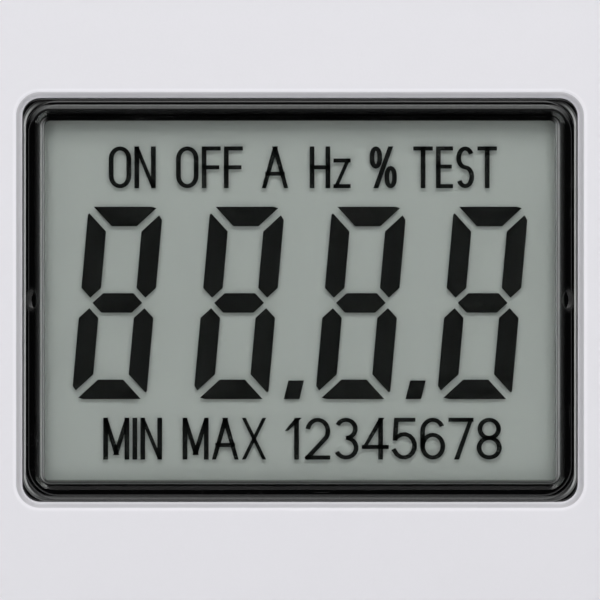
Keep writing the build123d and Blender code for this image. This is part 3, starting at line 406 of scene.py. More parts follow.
# Colour of dust, how far it and rubbing show, and how a rubbed edge differs
HOUSE_DUST = (0.42, 0.4, 0.37)
DUST_SHARE, WEAR_SHARE = 0.5, 0.25
WORN_TONE, WORN_POLISH = 1.12, 0.12


def moulded(name, colour, roughness, grain_size, grain_depth, contrast=0.03, dust=0.12,
            wear=0.3 * MM, smudge=0.12, painted_light_of=None):
    """Moulded plastic: grain, tone, smudged gloss, rubbed edges and a little dust, with painted shade
    and highlights where a function for them is given.
    """
    material, wires, inputs = new_material(name, roughness)
    grain = effect(wires, "grain", scale=1 / grain_size, contrast=contrast)
    worn = effect(wires, "wear", radius=wear)["Mask"]
    dusty = effect(wires, "dust", settled=dust, specks=dust)["Mask"]
    smudged = effect(wires, "smudges", amount=smudge)["Roughness"]
    # Painted shade and highlights, where given, scale the grain's tone
    tone = wires.times(grain["Tone"], painted_light_of(wires)) if painted_light_of else grain["Tone"]
    toned = wires.scaled(colour, tone)
    paler = wires.blend(wires.times(worn, WEAR_SHARE), toned, rgba(colour, WORN_TONE))
    final = wires.blend(wires.times(dusty, DUST_SHARE), paler, rgba(HOUSE_DUST))
    change = wires.minus(smudged, wires.times(worn, WORN_POLISH))
    feed(wires, inputs, final, change, grain["Height"], grain_depth)
    return material


# Colour, roughness, width and height of the grain in millimetres, and its contrast
PLASTICS = {
    "Cured seal": ((0.3, 0.31, 0.3), 0.55, 0.3, 0.004, 0.1),
    "Black holder plastic": ((0.02, 0.02, 0.021), 0.5, 0.25, 0.006, 0.2),
    "Switch plastic": ((0.025, 0.025, 0.026), 0.45, 0.2, 0.003, 0.2),
    "Plunger plastic": ((0.05, 0.05, 0.052), 0.4, 0.2, 0.003, 0.2),
    "Shutter plastic": ((0.34, 0.34, 0.35), 0.42, 0.3, 0.004, 0.06),
    "Glass-filled nylon": ((0.62, 0.61, 0.57), 0.55, 0.12, 0.008, 0.16),
    "Filled epoxy box": ((0.5, 0.33, 0.06), 0.28, 0.6, 0.004, 0.1),
    "Dipped coating": ((0.04, 0.12, 0.36), 0.3, 0.9, 0.02, 0.15),
    "Black resin": ((0.01, 0.01, 0.01), 0.12, 1.2, 0.015, 0.2),
}

# Colour, roughness, stretch of the drawing lines on each axis, and colour and spread of the
# tarnish, which is a darker shade of the metal where no colour is given
METALS = {
    "Zinc plate": ((0.6, 0.59, 0.56), 0.34, (1.0, 0.2, 1.0), (0.35, 0.32, 0.24), 0.45),
    "Nickel plate": ((0.7, 0.67, 0.6), 0.24, (1.0, 0.02, 1.0), None, 0.35),
    "Phosphor bronze": ((0.78, 0.54, 0.32), 0.3, (1.0, 0.05, 1.0), (0.35, 0.2, 0.1), 0.35),
    "Sheet brass": ((0.8, 0.62, 0.3), 0.3, (1.0, 1.0, 0.03), (0.4, 0.28, 0.1), 0.35),
    "Spring steel": ((0.56, 0.56, 0.57), 0.3, (0.08, 1.0, 0.08), None, 0.35),
    "Plated can": ((0.66, 0.65, 0.63), 0.26, (1.0, 0.1, 1.0), None, 0.25),
    "Resistance wire": ((0.45, 0.41, 0.36), 0.36, (0.05, 1.0, 1.0), None, 0.35),
}

# How far tarnish and rubbing show on metal, and the height of its drawing lines
OWN_TARNISH_TONE, TARNISH_SHARE, TARNISH_ROUGHNESS = 0.55, 0.6, 0.22
LOW_LINE_TONE, HIGH_LINE_TONE = 0.86, 1.06
RUBBED_TONE, RUBBED_POLISH = 1.25, 0.1
metal_wear = 0.2 * MM
line_height = 0.004 * MM

# Tint, mirroring as a refractive index, roughness, and depth of the smudges
SHEETS = {
    "Clear acrylic": ((0.995, 0.996, 0.996), 1.49, 0.03, 0.05),
    "Display glass": ((0.993, 0.997, 0.994), 1.12, 0.02, 0.0),
    "Polarising film": ((0.965, 0.972, 0.966), 1.1, 0.12, 0.0),
}


def plastic(name):
    """One of the listed plastics."""
    colour, roughness, grain_size, grain_depth, contrast = PLASTICS[name]
    return moulded(name, colour, roughness, grain_size * MM, grain_depth * MM, contrast)


def drawn_metal(name):
    """One of the listed metals, with drawing lines, dull patches and brighter rubbed edges."""
    colour, roughness, along, tarnish, cover = METALS[name]
    material, wires, inputs = new_material(name, roughness, metallic=1.0)
    lines = effect(wires, "brushing", along_x=along[0], along_y=along[1], along_z=along[2])
    worn = effect(wires, "wear", radius=metal_wear)["Mask"]
    dull = effect(wires, "tarnish", cover=cover)["Mask"]
    toned = wires.blend(lines["Tone"], rgba(colour, LOW_LINE_TONE), rgba(colour, HIGH_LINE_TONE))
    patina = rgba(tarnish) if tarnish else rgba(colour, OWN_TARNISH_TONE)
    aged = wires.blend(wires.times(dull, TARNISH_SHARE), toned, patina)
    rubbed = wires.blend(worn, aged, rgba(colour, RUBBED_TONE))
    change = wires.minus(wires.times(dull, TARNISH_ROUGHNESS), wires.times(worn, RUBBED_POLISH))
    feed(wires, inputs, rubbed, change, lines["Height"], line_height)
    return material


def clear_sheet(name):
    """One of the listed clear sheets: it lets light straight through and mirrors by angle."""
    tint, ior, roughness, smudge = SHEETS[name]
    material, wires, _ = new_material(name, roughness)
    wires.nodes.clear()
    through = wires.add("ShaderNodeBsdfTransparent", {"Color": rgba(tint)})
    mirror = wires.add("ShaderNodeBsdfGlossy", {"Roughness": roughness})
    if smudge:
        smudged = effect(wires, "smudges", amount=smudge, scale=90.0)["Roughness"]
        vary_roughness(wires, mirror.inputs, smudged)
    inside = wires.add("ShaderNodeNewGeometry").outputs["Backfacing"]
    seen = wires.add("ShaderNodeLightPath").outputs["Is Camera Ray"]
    kept = wires.minus(1.0, wires.times(inside, seen))
    share = wires.times(wires.add("ShaderNodeFresnel", {"IOR": ior}).outputs[0], kept)
    mixed = wires.add("ShaderNodeMixShader", {0: share, 1: through.outputs[0],
                                              2: mirror.outputs[0]})
    wires.add("ShaderNodeOutputMaterial", {"Surface": mixed.outputs[0]})
    return material


def paint(material, *nodes):
    """Gives a finish to CAD nodes."""
    for name in nodes:
        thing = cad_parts[name]
        if not thing.data.materials:
            thing.data.materials.append(material)
        for place in thing.material_slots:
            place.material = material


def link_piece(name, mesh, material, body):
    """Puts a new mesh in the scene as a piece of the object."""
    piece = bpy.data.objects.new(name, mesh)
    bpy.context.scene.collection.objects.link(piece)
    piece.data.materials.append(material)
    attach(piece, body)
    return piece


# The housing's polished slope into the window: places outside the lens, and the tones of the painted
# shade and painted highlights on it
slope_foot = 1.55 * MM
slope_top = 1.98 * MM
slope_end = 2.03 * MM
slope_depth = 1.2 * MM
slope_corner = 0.08 * MM
foot_highlight_line = (1.68 * MM, 1.6 * MM)
lip_highlight_line = (2.4 * MM, 2.2 * MM)
FOOT_PAINTED_LIGHT, TOP_PAINTED_SHADE, BRIGHTEST_PAINTED_LIGHT = 1.12, 0.72, 1.35
ENDS_PAINTED_LIGHT, SIDES_PAINTED_SHADE, FOOT_LINE_PAINTED_HIGHLIGHT, LIP_PAINTED_HIGHLIGHT = 1.16, 0.2, 0.3, 0.09


def painted_slope_light(wires):
    """Painted shade and painted highlights on the housing's slope between its face and the window's
    frame: darker towards the face, lighter at the top and bottom than at the sides, with a painted
    highlight line at the foot and one just outside the lip.
    """
    y = wires.axes()["Y"]
    outside, sideways = effect(wires, "rim", corner=slope_corner)
    shade = wires.window(outside, slope_foot, slope_top, FOOT_PAINTED_LIGHT, TOP_PAINTED_SHADE)
    shade = wires.times(shade, wires.minus(ENDS_PAINTED_LIGHT, wires.times(sideways, SIDES_PAINTED_SHADE)))
    foot = wires.times(wires.window(outside, *foot_highlight_line), FOOT_LINE_PAINTED_HIGHLIGHT)
    slant = wires.math("MINIMUM", wires.plus(shade, foot), BRIGHTEST_PAINTED_LIGHT)
    face = wires.plus(wires.times(wires.window(outside, *lip_highlight_line), LIP_PAINTED_HIGHLIGHT), 1.0)
    around = wires.mix(wires.less(outside, slope_end), face, slant)
    return wires.mix(wires.less(y, face_y + slope_depth), 1.0, around)


class EnergyMonitorHousing(bpy.types.Operator):
    """Finishes the two shells, the battery cover and the screws"""

    bl_idname = "energy_monitor.housing"
    bl_label = "Housing"

    def execute(self, context):
        look = context.scene.energy_monitor_housing
        # The shells carry painted shade and painted highlights on the slope round the window
        shell = moulded("Pale textured plastic", tuple(look.colour), look.roughness,
                        look.grain_size, look.grain_depth, painted_light_of=painted_slope_light)
        paint(shell, "front_shell", "rear_shell", "battery_cover")
        paint(drawn_metal("Zinc plate"), "housing_screws", "battery_cover_screw", "board_screws")
        return {"FINISHED"}


# Glints along the frame's rim: distance outside the lens and half width in millimetres, and tone
SIDE_GLINTS = ((1.49, 0.06, 0.12), (1.31, 0.09, 0.45))
TOP_GLINTS = ((1.2, 0.08, 0.03), (0.75, 0.17, 0.1), (0.44, 0.12, 0.008))
BOTTOM_GLINTS = ((1.46, 0.05, 0.12), (1.2, 0.18, 0.08), (0.95, 0.06, 0.011))
GLINT_SOFTNESS = 0.25
inner_glow_reach = 0.42 * MM
INNER_GLOW_TONE = 0.06

# The lens's seat, which carries a painted reflection: what counts as on it, the fine painted lines
# along it, the painted highlight at its brim, and the tones, with the shares kept at the bottom and
# at the top
seat_tolerance = 0.08 * MM
seat_overlap = 0.02 * MM
seat_line_pitch = 0.08 * MM
seat_line = (0.02 * MM, 0.06 * MM)
brim_highlight = (-0.14 * MM, -0.05 * MM)
SEAT_PAINTED_REFLECTION, SEAT_LINE_PAINTED_REFLECTION, BRIM_PAINTED_HIGHLIGHT = 0.26, 0.22, 0.6
LOWER_SEAT_REFLECTION_SHARE, UPPER_SEAT_REFLECTION_SHARE = 0.2, 0.01

# The vent at each side, as flattened rings in millimetres: middle from the centre line, squeeze,
# and the reach where the ring's mask is nought and where it is full
VENT_RINGS = ((23.7, 3.0, 1.3, 0.4), (23.5, 10.0, 0.45, 0.8))
VENT_ROUGHNESS = 0.45

# Colours on the polished black: scratches, dust, and the painted glints and painted reflection
SCRATCH_GREY = (0.09, 0.09, 0.09, 1)
DUST_ON_BLACK = (0.3, 0.29, 0.27, 1)
PAINTED_GLINT_COLOUR = (0.98, 1, 0.99, 1)


def glints(wires, outside, lines):
    """The summed tone of soft painted highlight lines at set distances from the lens."""
    total = 0.0
    for place, half_width, tone in lines:
        off = wires.away(outside, place * MM)
        soft = half_width * MM * GLINT_SOFTNESS
        line = wires.window(off, half_width * MM + soft, half_width * MM - soft)
        total = wires.plus(wires.times(line, tone), total)
    return total


def painted_rim_light(wires):
    """Painted highlights along the edges of the frame moulding and a painted reflection on the lens's
    seat, as a share of the glint colour.
    """
    _, y, z = wires.axes()
    outside, sideways = effect(wires, "rim")
    abruptly = wires.math("POWER", sideways, 3.0)
    upper = wires.math("GREATER_THAN", z, window_centre.z)
    # Painted highlight lines along the frame's rim, one set for the sides and one each for the top
    # and the bottom
    ends = wires.mix(upper, glints(wires, outside, BOTTOM_GLINTS), glints(wires, outside, TOP_GLINTS))
    rim = wires.mix(abruptly, ends, glints(wires, outside, SIDE_GLINTS))
    near = wires.window(outside, inner_glow_reach, seat_overlap)
    inner = wires.times(near, near, sideways, INNER_GLOW_TONE)
    streaks = wires.noise(wires.stretched((1.0, 1.0, 0.05)), 9000.0)
    varied = wires.times(wires.plus(rim, inner), wires.plus(wires.times(streaks, 0.5), 0.75))
    # Painted reflection on the lens's seat, with fine painted lines and a painted highlight at the
    # brim, strongest at the sides and faint at the top and bottom
    lines = wires.window(wires.math("PINGPONG", outside, seat_line_pitch), *seat_line)
    seat = wires.plus(wires.times(lines, SEAT_LINE_PAINTED_REFLECTION), SEAT_PAINTED_REFLECTION)
    seat = wires.plus(wires.times(wires.window(outside, *brim_highlight), BRIM_PAINTED_HIGHLIGHT), seat, clamp=True)
    least = wires.mix(upper, LOWER_SEAT_REFLECTION_SHARE, UPPER_SEAT_REFLECTION_SHARE)
    seat = wires.times(seat, wires.most(abruptly, least))
    level = wires.less(wires.away(y, lens_high.y), seat_tolerance)
    under = wires.times(level, wires.less(outside, seat_overlap))
    return wires.mix(under, varied, seat)


def vent_mask(wires):
    """Mask of the dish round the vent at the middle of each side, left unpolished."""
    x, _, z = wires.axes()
    above = wires.minus(z, window_centre.z)
    mask = 1.0
    for middle, squeeze, clear, full in VENT_RINGS:
        aside = wires.minus(wires.math("ABSOLUTE", x), middle * MM)
        reach = wires.diagonal(wires.times(aside, math.sqrt(squeeze)), above)
        mask = wires.times(wires.window(reach, clear * MM, full * MM), mask)
    return mask


def polished_black(name, colour):
    """Polished black moulding with faint scratches, smudges and specks of dust, and painted
    highlights and a painted reflection round the lens.
    """
    material, wires, inputs = new_material(name, 0.07)
    scratched = effect(wires, "scratches", reach=1.0)
    dusty = effect(wires, "dust", settled=0.05, specks=0.25)["Mask"]
    smudged = effect(wires, "smudges", amount=0.14, scale=130.0)["Roughness"]
    toned = wires.scaled(colour, effect(wires, "grain", scale=1800.0, contrast=0.5)["Tone"])
    scuffed = wires.blend(wires.times(scratched["Mask"], 0.04), toned, SCRATCH_GREY)
    dusted = wires.blend(wires.times(dusty, 0.1), scuffed, DUST_ON_BLACK)
    # Painted highlights and painted reflection blended in as colour
    with_painted_light = wires.blend(painted_rim_light(wires), dusted, PAINTED_GLINT_COLOUR)
    change = wires.plus(smudged, wires.times(scratched["Mask"], 0.2))
    change = wires.plus(change, wires.times(vent_mask(wires), VENT_ROUGHNESS))
    feed(wires, inputs, with_painted_light, change, scratched["Height"], 0.0015 * MM)
    return material


class EnergyMonitorWindow(bpy.types.Operator):
    """Finishes the black frame moulding and the clear lens in it"""

    bl_idname = "energy_monitor.window"
    bl_label = "Window"

    def execute(self, context):
        look = context.scene.energy_monitor_display
        paint(polished_black("Polished black", tuple(look.bezel_colour)), "window_bezel")
        paint(clear_sheet("Clear acrylic"), "window_lens")
        return {"FINISHED"}


def finished_mesh(name, build):
    """The mesh of what was built."""
    mesh = bpy.data.meshes.new(name)
    build.to_mesh(mesh)
    build.free()
    return mesh


ground_edge = 0.06 * MM


def pane_mesh(name, low, high, bevel):
    """A flat pane between two corners, with ground edges."""
    build = bmesh.new()
    for corner in itertools.product(*zip(low, high)):
        build.verts.new(corner)
    bmesh.ops.convex_hull(build, input=build.verts)
    bmesh.ops.dissolve_limit(build, angle_limit=0.01, verts=build.verts, edges=build.edges)
    bmesh.ops.bevel(build, geom=build.edges[:], offset=bevel, segments=2, affect="EDGES")
    return finished_mesh(name, build)


# The display's films: roughness, mirroring, scale and contrast of the fleck, scale of the
# clouding, how far it changes the tone, and height of the fleck in millimetres
FILMS = {
    "Reflecting film": (0.6, 0.1, 9000.0, 0.05, 45.0, 0.12, 0.002),
    "Switched segments": (0.42, 0.06, 2600.0, 0.35, 60.0, 0.0, 0.001),
}


def matt_film(name, colour):
    """One of the listed matt films, with a fine fleck and a faint clouding."""
    roughness, mirroring, scale, contrast, cloud_scale, clouding, height = FILMS[name]
    material, wires, inputs = new_material(name, roughness)
    inputs["Specular IOR Level"].default_value = mirroring
    grain = effect(wires, "grain", scale=scale, contrast=contrast)
    cloud = effect(wires, "smudges", amount=0.1, scale=cloud_scale)["Roughness"]
    tone = wires.plus(grain["Tone"], wires.times(cloud, clouding))
    feed(wires, inputs, wires.scaled(colour, tone), cloud, grain["Height"], height * MM)
    return material


def layered_rubber():
    """Silicone strip with thin conducting layers side by side along its length."""
    material, wires, inputs = new_material("Layered rubber", 0.66)
    layer = 0.05 * MM
    across = wires.math("PINGPONG", wires.axes()["X"], 2 * layer)
    layers = wires.math("GREATER_THAN", across, layer)
    grain = effect(wires, "grain", scale=4000.0)
    striped = wires.blend(layers, (0.5, 0.49, 0.45, 1), (0.03, 0.03, 0.03, 1))
    change = wires.times(grain["Height"], 0.1)
    feed(wires, inputs, striped, change, grain["Height"], 0.006 * MM)
    return material


class EnergyMonitorDisplay(bpy.types.Operator):
    """Builds the display's two panes and finishes its films, seal, segments and holder"""

    bl_idname = "energy_monitor.display"
    bl_label = "Display"

    def execute(self, context):
        look = context.scene.energy_monitor_display
        glass = clear_sheet("Display glass")
        gap = Vector((look.pane_gap,) * 3)
        for name, node in (("front_pane", "lcd_front_glass"), ("rear_pane", "lcd_rear_glass")):
            low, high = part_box(node)
            mesh = pane_mesh(name, low + gap, high - gap, ground_edge)
            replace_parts(link_piece(name, mesh, glass, "housing"), node)
        paint(clear_sheet("Polarising film"), "lcd_polariser")
        paint(matt_film("Reflecting film", tuple(look.reflector_colour)), "lcd_reflector")
        paint(matt_film("Switched segments", tuple(look.segment_colour)), "lcd_segments")
        paint(plastic("Cured seal"), "lcd_seal")
        paint(plastic("Black holder plastic"), "lcd_holder")
        paint(layered_rubber(), "connector_strips")
        return {"FINISHED"}


def bow(centre, radii, first, last, steps=12):
    """Points along part of an ellipse, between two angles in degrees."""
    points = []
    for step in range(steps + 1):
        turn = math.radians(first + (last - first) * step / steps)
        points.append((centre[0] + radii[0] * math.cos(turn), centre[1] + radii[1] * math.sin(turn)))
    return points


def ring(centre, radii, straight=0.0):
    """An ellipse that ends where it starts, with straight sides if asked for."""
    x, y = centre
    upper = bow((x, y + straight), radii, 0, 180)
    lower = bow((x, y - straight), radii, 180, 360)
    return upper + (lower if straight else lower[1:-1]) + upper[:1]


# Each letter's width as a share of its height, and its strokes in a box one wide and one high
GLYPHS = {
    "A": (0.56, [[(0, 0), (0.5, 1), (1, 0)], [(0.16, 0.33), (0.84, 0.33)]]),
    "E": (0.4, [[(1, 1), (0, 1), (0, 0), (1, 0)], [(0, 0.52), (0.9, 0.52)]]),
    "F": (0.37, [[(1, 1), (0, 1), (0, 0)], [(0, 0.5), (0.9, 0.5)]]),
    "H": (0.42, [[(0, 0), (0, 1)], [(1, 0), (1, 1)], [(0, 0.5), (1, 0.5)]]),
    "I": (0.0, [[(0, 0), (0, 1)]]),
    "M": (0.54, [[(0, 0), (0, 1), (0.5, 0.12), (1, 1), (1, 0)]]),
    "N": (0.43, [[(0, 0), (0, 1), (1, 0), (1, 1)]]),
    "O": (0.46, [ring((0.5, 0.5), (0.5, 0.27), 0.23)]),
    "S": (0.43, [bow((0.5, 0.75), (0.5, 0.25), 25, 270)
                 + bow((0.5, 0.25), (0.5, 0.25), 90, -155)[1:]]),
    "T": (0.48, [[(0, 1), (1, 1)], [(0.5, 1), (0.5, 0)]]),
    "X": (0.5, [[(0, 0), (1, 1)], [(0, 1), (1, 0)]]),
    "z": (0.33, [[(0, 0.68), (1, 0.68), (0, 0), (1, 0)]]),
    "%": (0.72, [[(0.2, 0), (0.8, 1)], ring((0.17, 0.76), (0.17, 0.2), 0.04),
                 ring((0.83, 0.24), (0.17, 0.2), 0.04)]),
    "1": (0.26, [[(0, 0.76), (0.75, 1), (0.75, 0)]]),
    "2": (0.42, [bow((0.5, 0.7), (0.5, 0.3), 170, -35) + [(0, 0), (1, 0)]]),
    "3": (0.42, [bow((0.5, 0.76), (0.46, 0.24), 155, -90)
                 + bow((0.5, 0.26), (0.5, 0.26), 90, -155)[1:]]),
    "4": (0.46, [[(0.74, 0), (0.74, 1), (0, 0.28), (1, 0.28)]]),
    "5": (0.42, [[(0.92, 1), (0.1, 1), (0.04, 0.5)] + bow((0.48, 0.31), (0.52, 0.31), 130, -155)]),
    "6": (0.42, [bow((0.5, 0.7), (0.5, 0.3), 25, 180) + [(0, 0.3)], ring((0.5, 0.3), (0.5, 0.3))]),
    "7": (0.42, [[(0, 1), (1, 1), (0.32, 0)]]),
    "8": (0.42, [ring((0.5, 0.76), (0.46, 0.24)), ring((0.5, 0.26), (0.5, 0.26))]),
    " ": (0.24, []),
}
# Air between two letters as a share of a capital's height
LETTER_GAP_SHARE = 0.075


def add_ribbon(build, points, width):
    """A flat band of even width along a line, with mitred corners and square ends."""
    closed = points[0] == points[-1]
    points = [Vector(point) for point in (points[:-1] if closed else points)]
    count = len(points)
    if not closed:
        for tip, neighbour in ((0, 1), (-1, -2)):
            along = points[tip] - points[neighbour]
            if along.length > width:
                points[tip] = points[tip] + along.normalized() * width / 2
    sides = []
    for index, point in enumerate(points):
        before = points[index - 1] if index or closed else None
        after = points[(index + 1) % count] if index + 1 < count or closed else None
        along_in = (point - before).normalized() if before else (after - point).normalized()
        along_out = (after - point).normalized() if after else along_in
        normal_in = Vector((-along_in.y, along_in.x))
        normal_out = Vector((-along_out.y, along_out.x))
        mitre = (normal_in + normal_out).normalized()
        reach = width / 2 / mitre.dot(normal_out)
        sides.append([build.verts.new((point + way * mitre * reach).to_3d()) for way in (1, -1)])
    for index in range(count if closed else count - 1):
        left, right = sides[index], sides[(index + 1) % count]
        build.faces.new((left[0], left[1], right[1], right[0]))


def add_slant(build, start, end, width, left, right):
    """A slanted bar cut level at both ends and held between the letter's left and right edge."""
    start, end = Vector(start), Vector(end)
    run = end - start
    half = width / 2 * run.length / abs(run.y)
    rise = width / 2 * (1 if run.y > 0 else -1)
    corners = []
    for point, way in ((start, -1), (end, 1)):
        x = point.x + run.x / run.y * rise * way
        corners.append([(min(max(x + side, left), right), point.y + rise * way)
                        for side in (-half, half)])
    low, high = corners
    points = (low[0], low[1], high[1], high[0])
    build.faces.new([build.verts.new(Vector(point).to_3d()) for point in points])


# The cosine of the turn beyond which a corner is split instead of mitred
SHARP_TURN = -0.1


def split_at_corners(line):
    """Parts of a line between its sharp corners, where the line turns back on itself."""
    parts = [[line[0]]]
    for index in range(1, len(line)):
        parts[-1].append(line[index])
        if index + 1 < len(line):
            before = (Vector(line[index]) - Vector(line[index - 1])).normalized()
            after = (Vector(line[index + 1]) - Vector(line[index])).normalized()
            if before.dot(after) < SHARP_TURN:
                parts.append([line[index]])
    return parts


def sign_mesh(name, text, left, right, foot, look, y, depth):
    """A word drawn in strokes, standing upright and facing the room."""
    stroke = look.stroke
    cap = look.cap_height * look.stress
    gap = LETTER_GAP_SHARE * look.cap_height + stroke
    widths = [GLYPHS[letter][0] * look.cap_height for letter in text]
    room = right - left - stroke - gap * (len(text) - 1)
    squeeze = room / max(sum(widths), 0.1 * MM)
    build = bmesh.new()
    start = left + stroke / 2
    for letter, width in zip(text, widths):
        end = start + width * squeeze
        for line in GLYPHS[letter][1]:
            shape = [(start + x * (end - start), stroke / 2 + z * (cap - stroke)) for x, z in line]
            for part in split_at_corners(shape):
                across = abs(part[0][0] - part[-1][0])
                upward = abs(part[0][1] - part[-1][1])
                if len(part) == 2 and min(across, upward) > stroke / 4:
                    add_slant(build, *part, stroke, start - stroke / 2, end + stroke / 2)
                else:
                    add_ribbon(build, part, stroke)
        start = end + gap
    front = bmesh.ops.extrude_face_region(build, geom=build.faces[:])
    for piece in front["geom"]:
        if isinstance(piece, bmesh.types.BMVert):
            piece.co.z += depth
    for vertex in build.verts:
        vertex.co = (vertex.co.x, y + depth / 2 - vertex.co.z, foot + vertex.co.y / look.stress)
    bmesh.ops.recalc_face_normals(build, faces=build.faces)
    return finished_mesh(name, build)


# Each row's pieces: name, text, and left and right end in millimetres from the centre line
TOP_SIGNS = (("sign_on_off", "ON OFF", -17.02, -5.08), ("sign_amps", "A", -3.4, -1.04),
             ("sign_hertz", "Hz", 0.86, 4.51), ("sign_percent", "%", 6.2, 8.62),
             ("sign_test", "TEST", 10.08, 17.53))
BOTTOM_SIGNS = (("sign_min_max", "MIN MAX", -17.51, -3.0),
                ("sign_numbers", "12345678", -1.36, 17.96))


class EnergyMonitorSigns(bpy.types.Operator):
    """Builds the display's two rows of plain signs and numbers"""

    bl_idname = "energy_monitor.signs"
    bl_label = "Signs"

    def execute(self, context):
        look = context.scene.energy_monitor_display
        low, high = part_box("lcd_segments")
        middle = (low.y + high.y) / 2
        depth = high.y - low.y
        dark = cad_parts["lcd_segments"].material_slots[0].material
        for row, foot in ((TOP_SIGNS, look.top_row), (BOTTOM_SIGNS, look.bottom_row)):
            for name, text, left, right in row:
                mesh = sign_mesh(name, text, left * MM, right * MM, window_centre.z + foot, look,
                                 middle, depth)
                link_piece(name, mesh, dark, "housing")
        return {"FINISHED"}


class EnergyMonitorButtons(bpy.types.Operator):
    """Finishes the buttons, the switches and their plungers"""

    bl_idname = "energy_monitor.buttons"
    bl_label = "Buttons"

    def execute(self, context):
        look = context.scene.energy_monitor_housing
        satin = moulded("Satin button plastic", tuple(look.button_colour), 0.38, 0.16 * MM,
                        0.003 * MM, contrast=0.12, dust=0.1, wear=0.4 * MM, smudge=0.2)
        paint(satin, "button_left", "button_middle", "button_right")
        paint(plastic("Switch plastic"), "tact_switches")
        paint(plastic("Plunger plastic"), "plunger_left", "plunger_middle", "plunger_right")
        return {"FINISHED"}


class EnergyMonitorSocket(bpy.types.Operator):
    """Finishes the socket insert, the shutter, the contact carrier and the plug"""

    bl_idname = "energy_monitor.socket"
    bl_label = "Socket and plug"

    def execute(self, context):
        look = context.scene.energy_monitor_housing
        hard = moulded("Hard pale plastic", tuple(look.socket_colour), 0.34, 0.5 * MM,
                       0.004 * MM, contrast=0.05, dust=0.1, smudge=0.2)
        paint(hard, "socket_cup", "plug_base")
        paint(plastic("Shutter plastic"), "shutter")
        paint(plastic("Glass-filled nylon"), "contact_carrier")
        return {"FINISHED"}


METAL_NODES = {
    "Nickel plate": ("live_pin", "neutral_pin", "earth_strip_top", "earth_strip_bottom",
                     "earth_bridge"),
    "Phosphor bronze": ("live_contact", "neutral_contact"),
    "Sheet brass": ("live_busbar", "neutral_busbar"),
    "Spring steel": ("shutter_spring", "battery_contacts", "battery_link"),
    "Plated can": ("battery_cells", "crystal"),
    "Resistance wire": ("shunt",),
}


class EnergyMonitorMetal(bpy.types.Operator):
    """Finishes the pins, contacts, bars, springs and battery plates"""

    bl_idname = "energy_monitor.metal"
    bl_label = "Metal"

    def execute(self, context):
        for name, nodes in METAL_NODES.items():
            paint(drawn_metal(name), *nodes)
        return {"FINISHED"}


def solder_resist():
    """Green board with copper tracks under the resist and a woven base."""
    material, wires, inputs = new_material("Solder resist", 0.3)
    cells = wires.add("ShaderNodeTexVoronoi", {"Vector": wires.stretched((1.0, 0.01, 1.0)),
                                               "Scale": 330.0},
                      distance="CHEBYCHEV", feature="F2").outputs["Distance"]
    tracks = wires.math("GREATER_THAN", wires.math("PINGPONG", cells, 0.16), 0.09)
    weave = effect(wires, "grain", scale=2500.0, contrast=0.12)
    green = wires.blend(tracks, (0.008, 0.075, 0.03, 1), (0.02, 0.17, 0.06, 1))
    smudged = effect(wires, "smudges", amount=0.15)["Roughness"]
    height = wires.plus(tracks, wires.times(weave["Height"], 0.3))
    feed(wires, inputs, wires.scaled(green, weave["Tone"]), smudged, height, 0.02 * MM)
    return material


# Solids in two finishes: material, axis, millimetres of metal at the low and the high end (none
# where it is below nought), then colour and roughness between the ends, and the same of the metal
TWO_PART_NODES = {
    "metering_chip": ("Chip", 2, 1.15, 1.15, (0.02, 0.02, 0.021), 0.45, (0.6, 0.6, 0.6), 0.3),
    "fuse": ("Fuse", 0, 2.0, 2.0, (0.75, 0.74, 0.7), 0.15, (0.65, 0.64, 0.62), 0.25),
    "smoothing_capacitor": ("Sleeved can", 1, -1.0, 0.6, (0.02, 0.025, 0.06), 0.3,
                            (0.7, 0.7, 0.7), 0.28),
}


def two_part_finish(node):
    """One of the listed solids: metal at its ends, and another finish between them."""
    name, axis, first, last, colour, roughness, metal_colour, metal_roughness = TWO_PART_NODES[node]
    material, wires, inputs = new_material(name, roughness)
    low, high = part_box(node)
    along = wires.axes()[axis]
    above = wires.math("GREATER_THAN", along, high[axis] - last * MM)
    metal = wires.most(wires.less(along, low[axis] + first * MM), above)
    grain = effect(wires, "grain", scale=3000.0, contrast=0.2)
    mixed = wires.blend(metal, rgba(colour), rgba(metal_colour))
    wires.links.new(metal, inputs["Metallic"])
    change = wires.times(metal, metal_roughness - roughness)
    feed(wires, inputs, wires.scaled(mixed, grain["Tone"]), change, grain["Height"], 0.004 * MM)
    return material


class EnergyMonitorBoard(bpy.types.Operator):
    """Finishes the circuit board and the parts on its back"""

    bl_idname = "energy_monitor.board"
    bl_label = "Circuit board"

    def execute(self, context):
        paint(solder_resist(), "circuit_board")
        paint(plastic("Filled epoxy box"), "mains_capacitor")
        paint(plastic("Dipped coating"), "varistor")
        paint(plastic("Black resin"), "controller_blob")
        for node in TWO_PART_NODES:
            paint(two_part_finish(node), node)
        return {"FINISHED"}


# The lamps besides the key: name, place from the middle of the window, width and height in
# metres, the setting that holds its power, and whether mirrors show it
LAMPS = (
    ("fill", (0, -0.6, 0), 0.5, 0.5, "fill_power", False),
    ("side", (-0.5, -0.25, 0), 0.25, 0.4, "side_power", False),
    ("side", (0.5, -0.25, 0), 0.25, 0.4, "side_power", False),
    ("back", (-0.25, 0.6, 0.35), 0.5, 0.5, "back_power", True),
)

# The key lamp, the floor with its fade to white, and the dark card, in metres
key_reach, key_aside, key_size = 0.6, 0.02, 0.42
floor_half = 3.0
fade_start, fade_end = 0.1, 0.55
NEAR_WHITE_SHARE = 0.4
card_half = 0.3
card_behind = 0.25
PURE_WHITE = (1, 1, 1, 1)
SQUARE = ((-1, -1), (1, -1), (1, 1), (-1, 1))


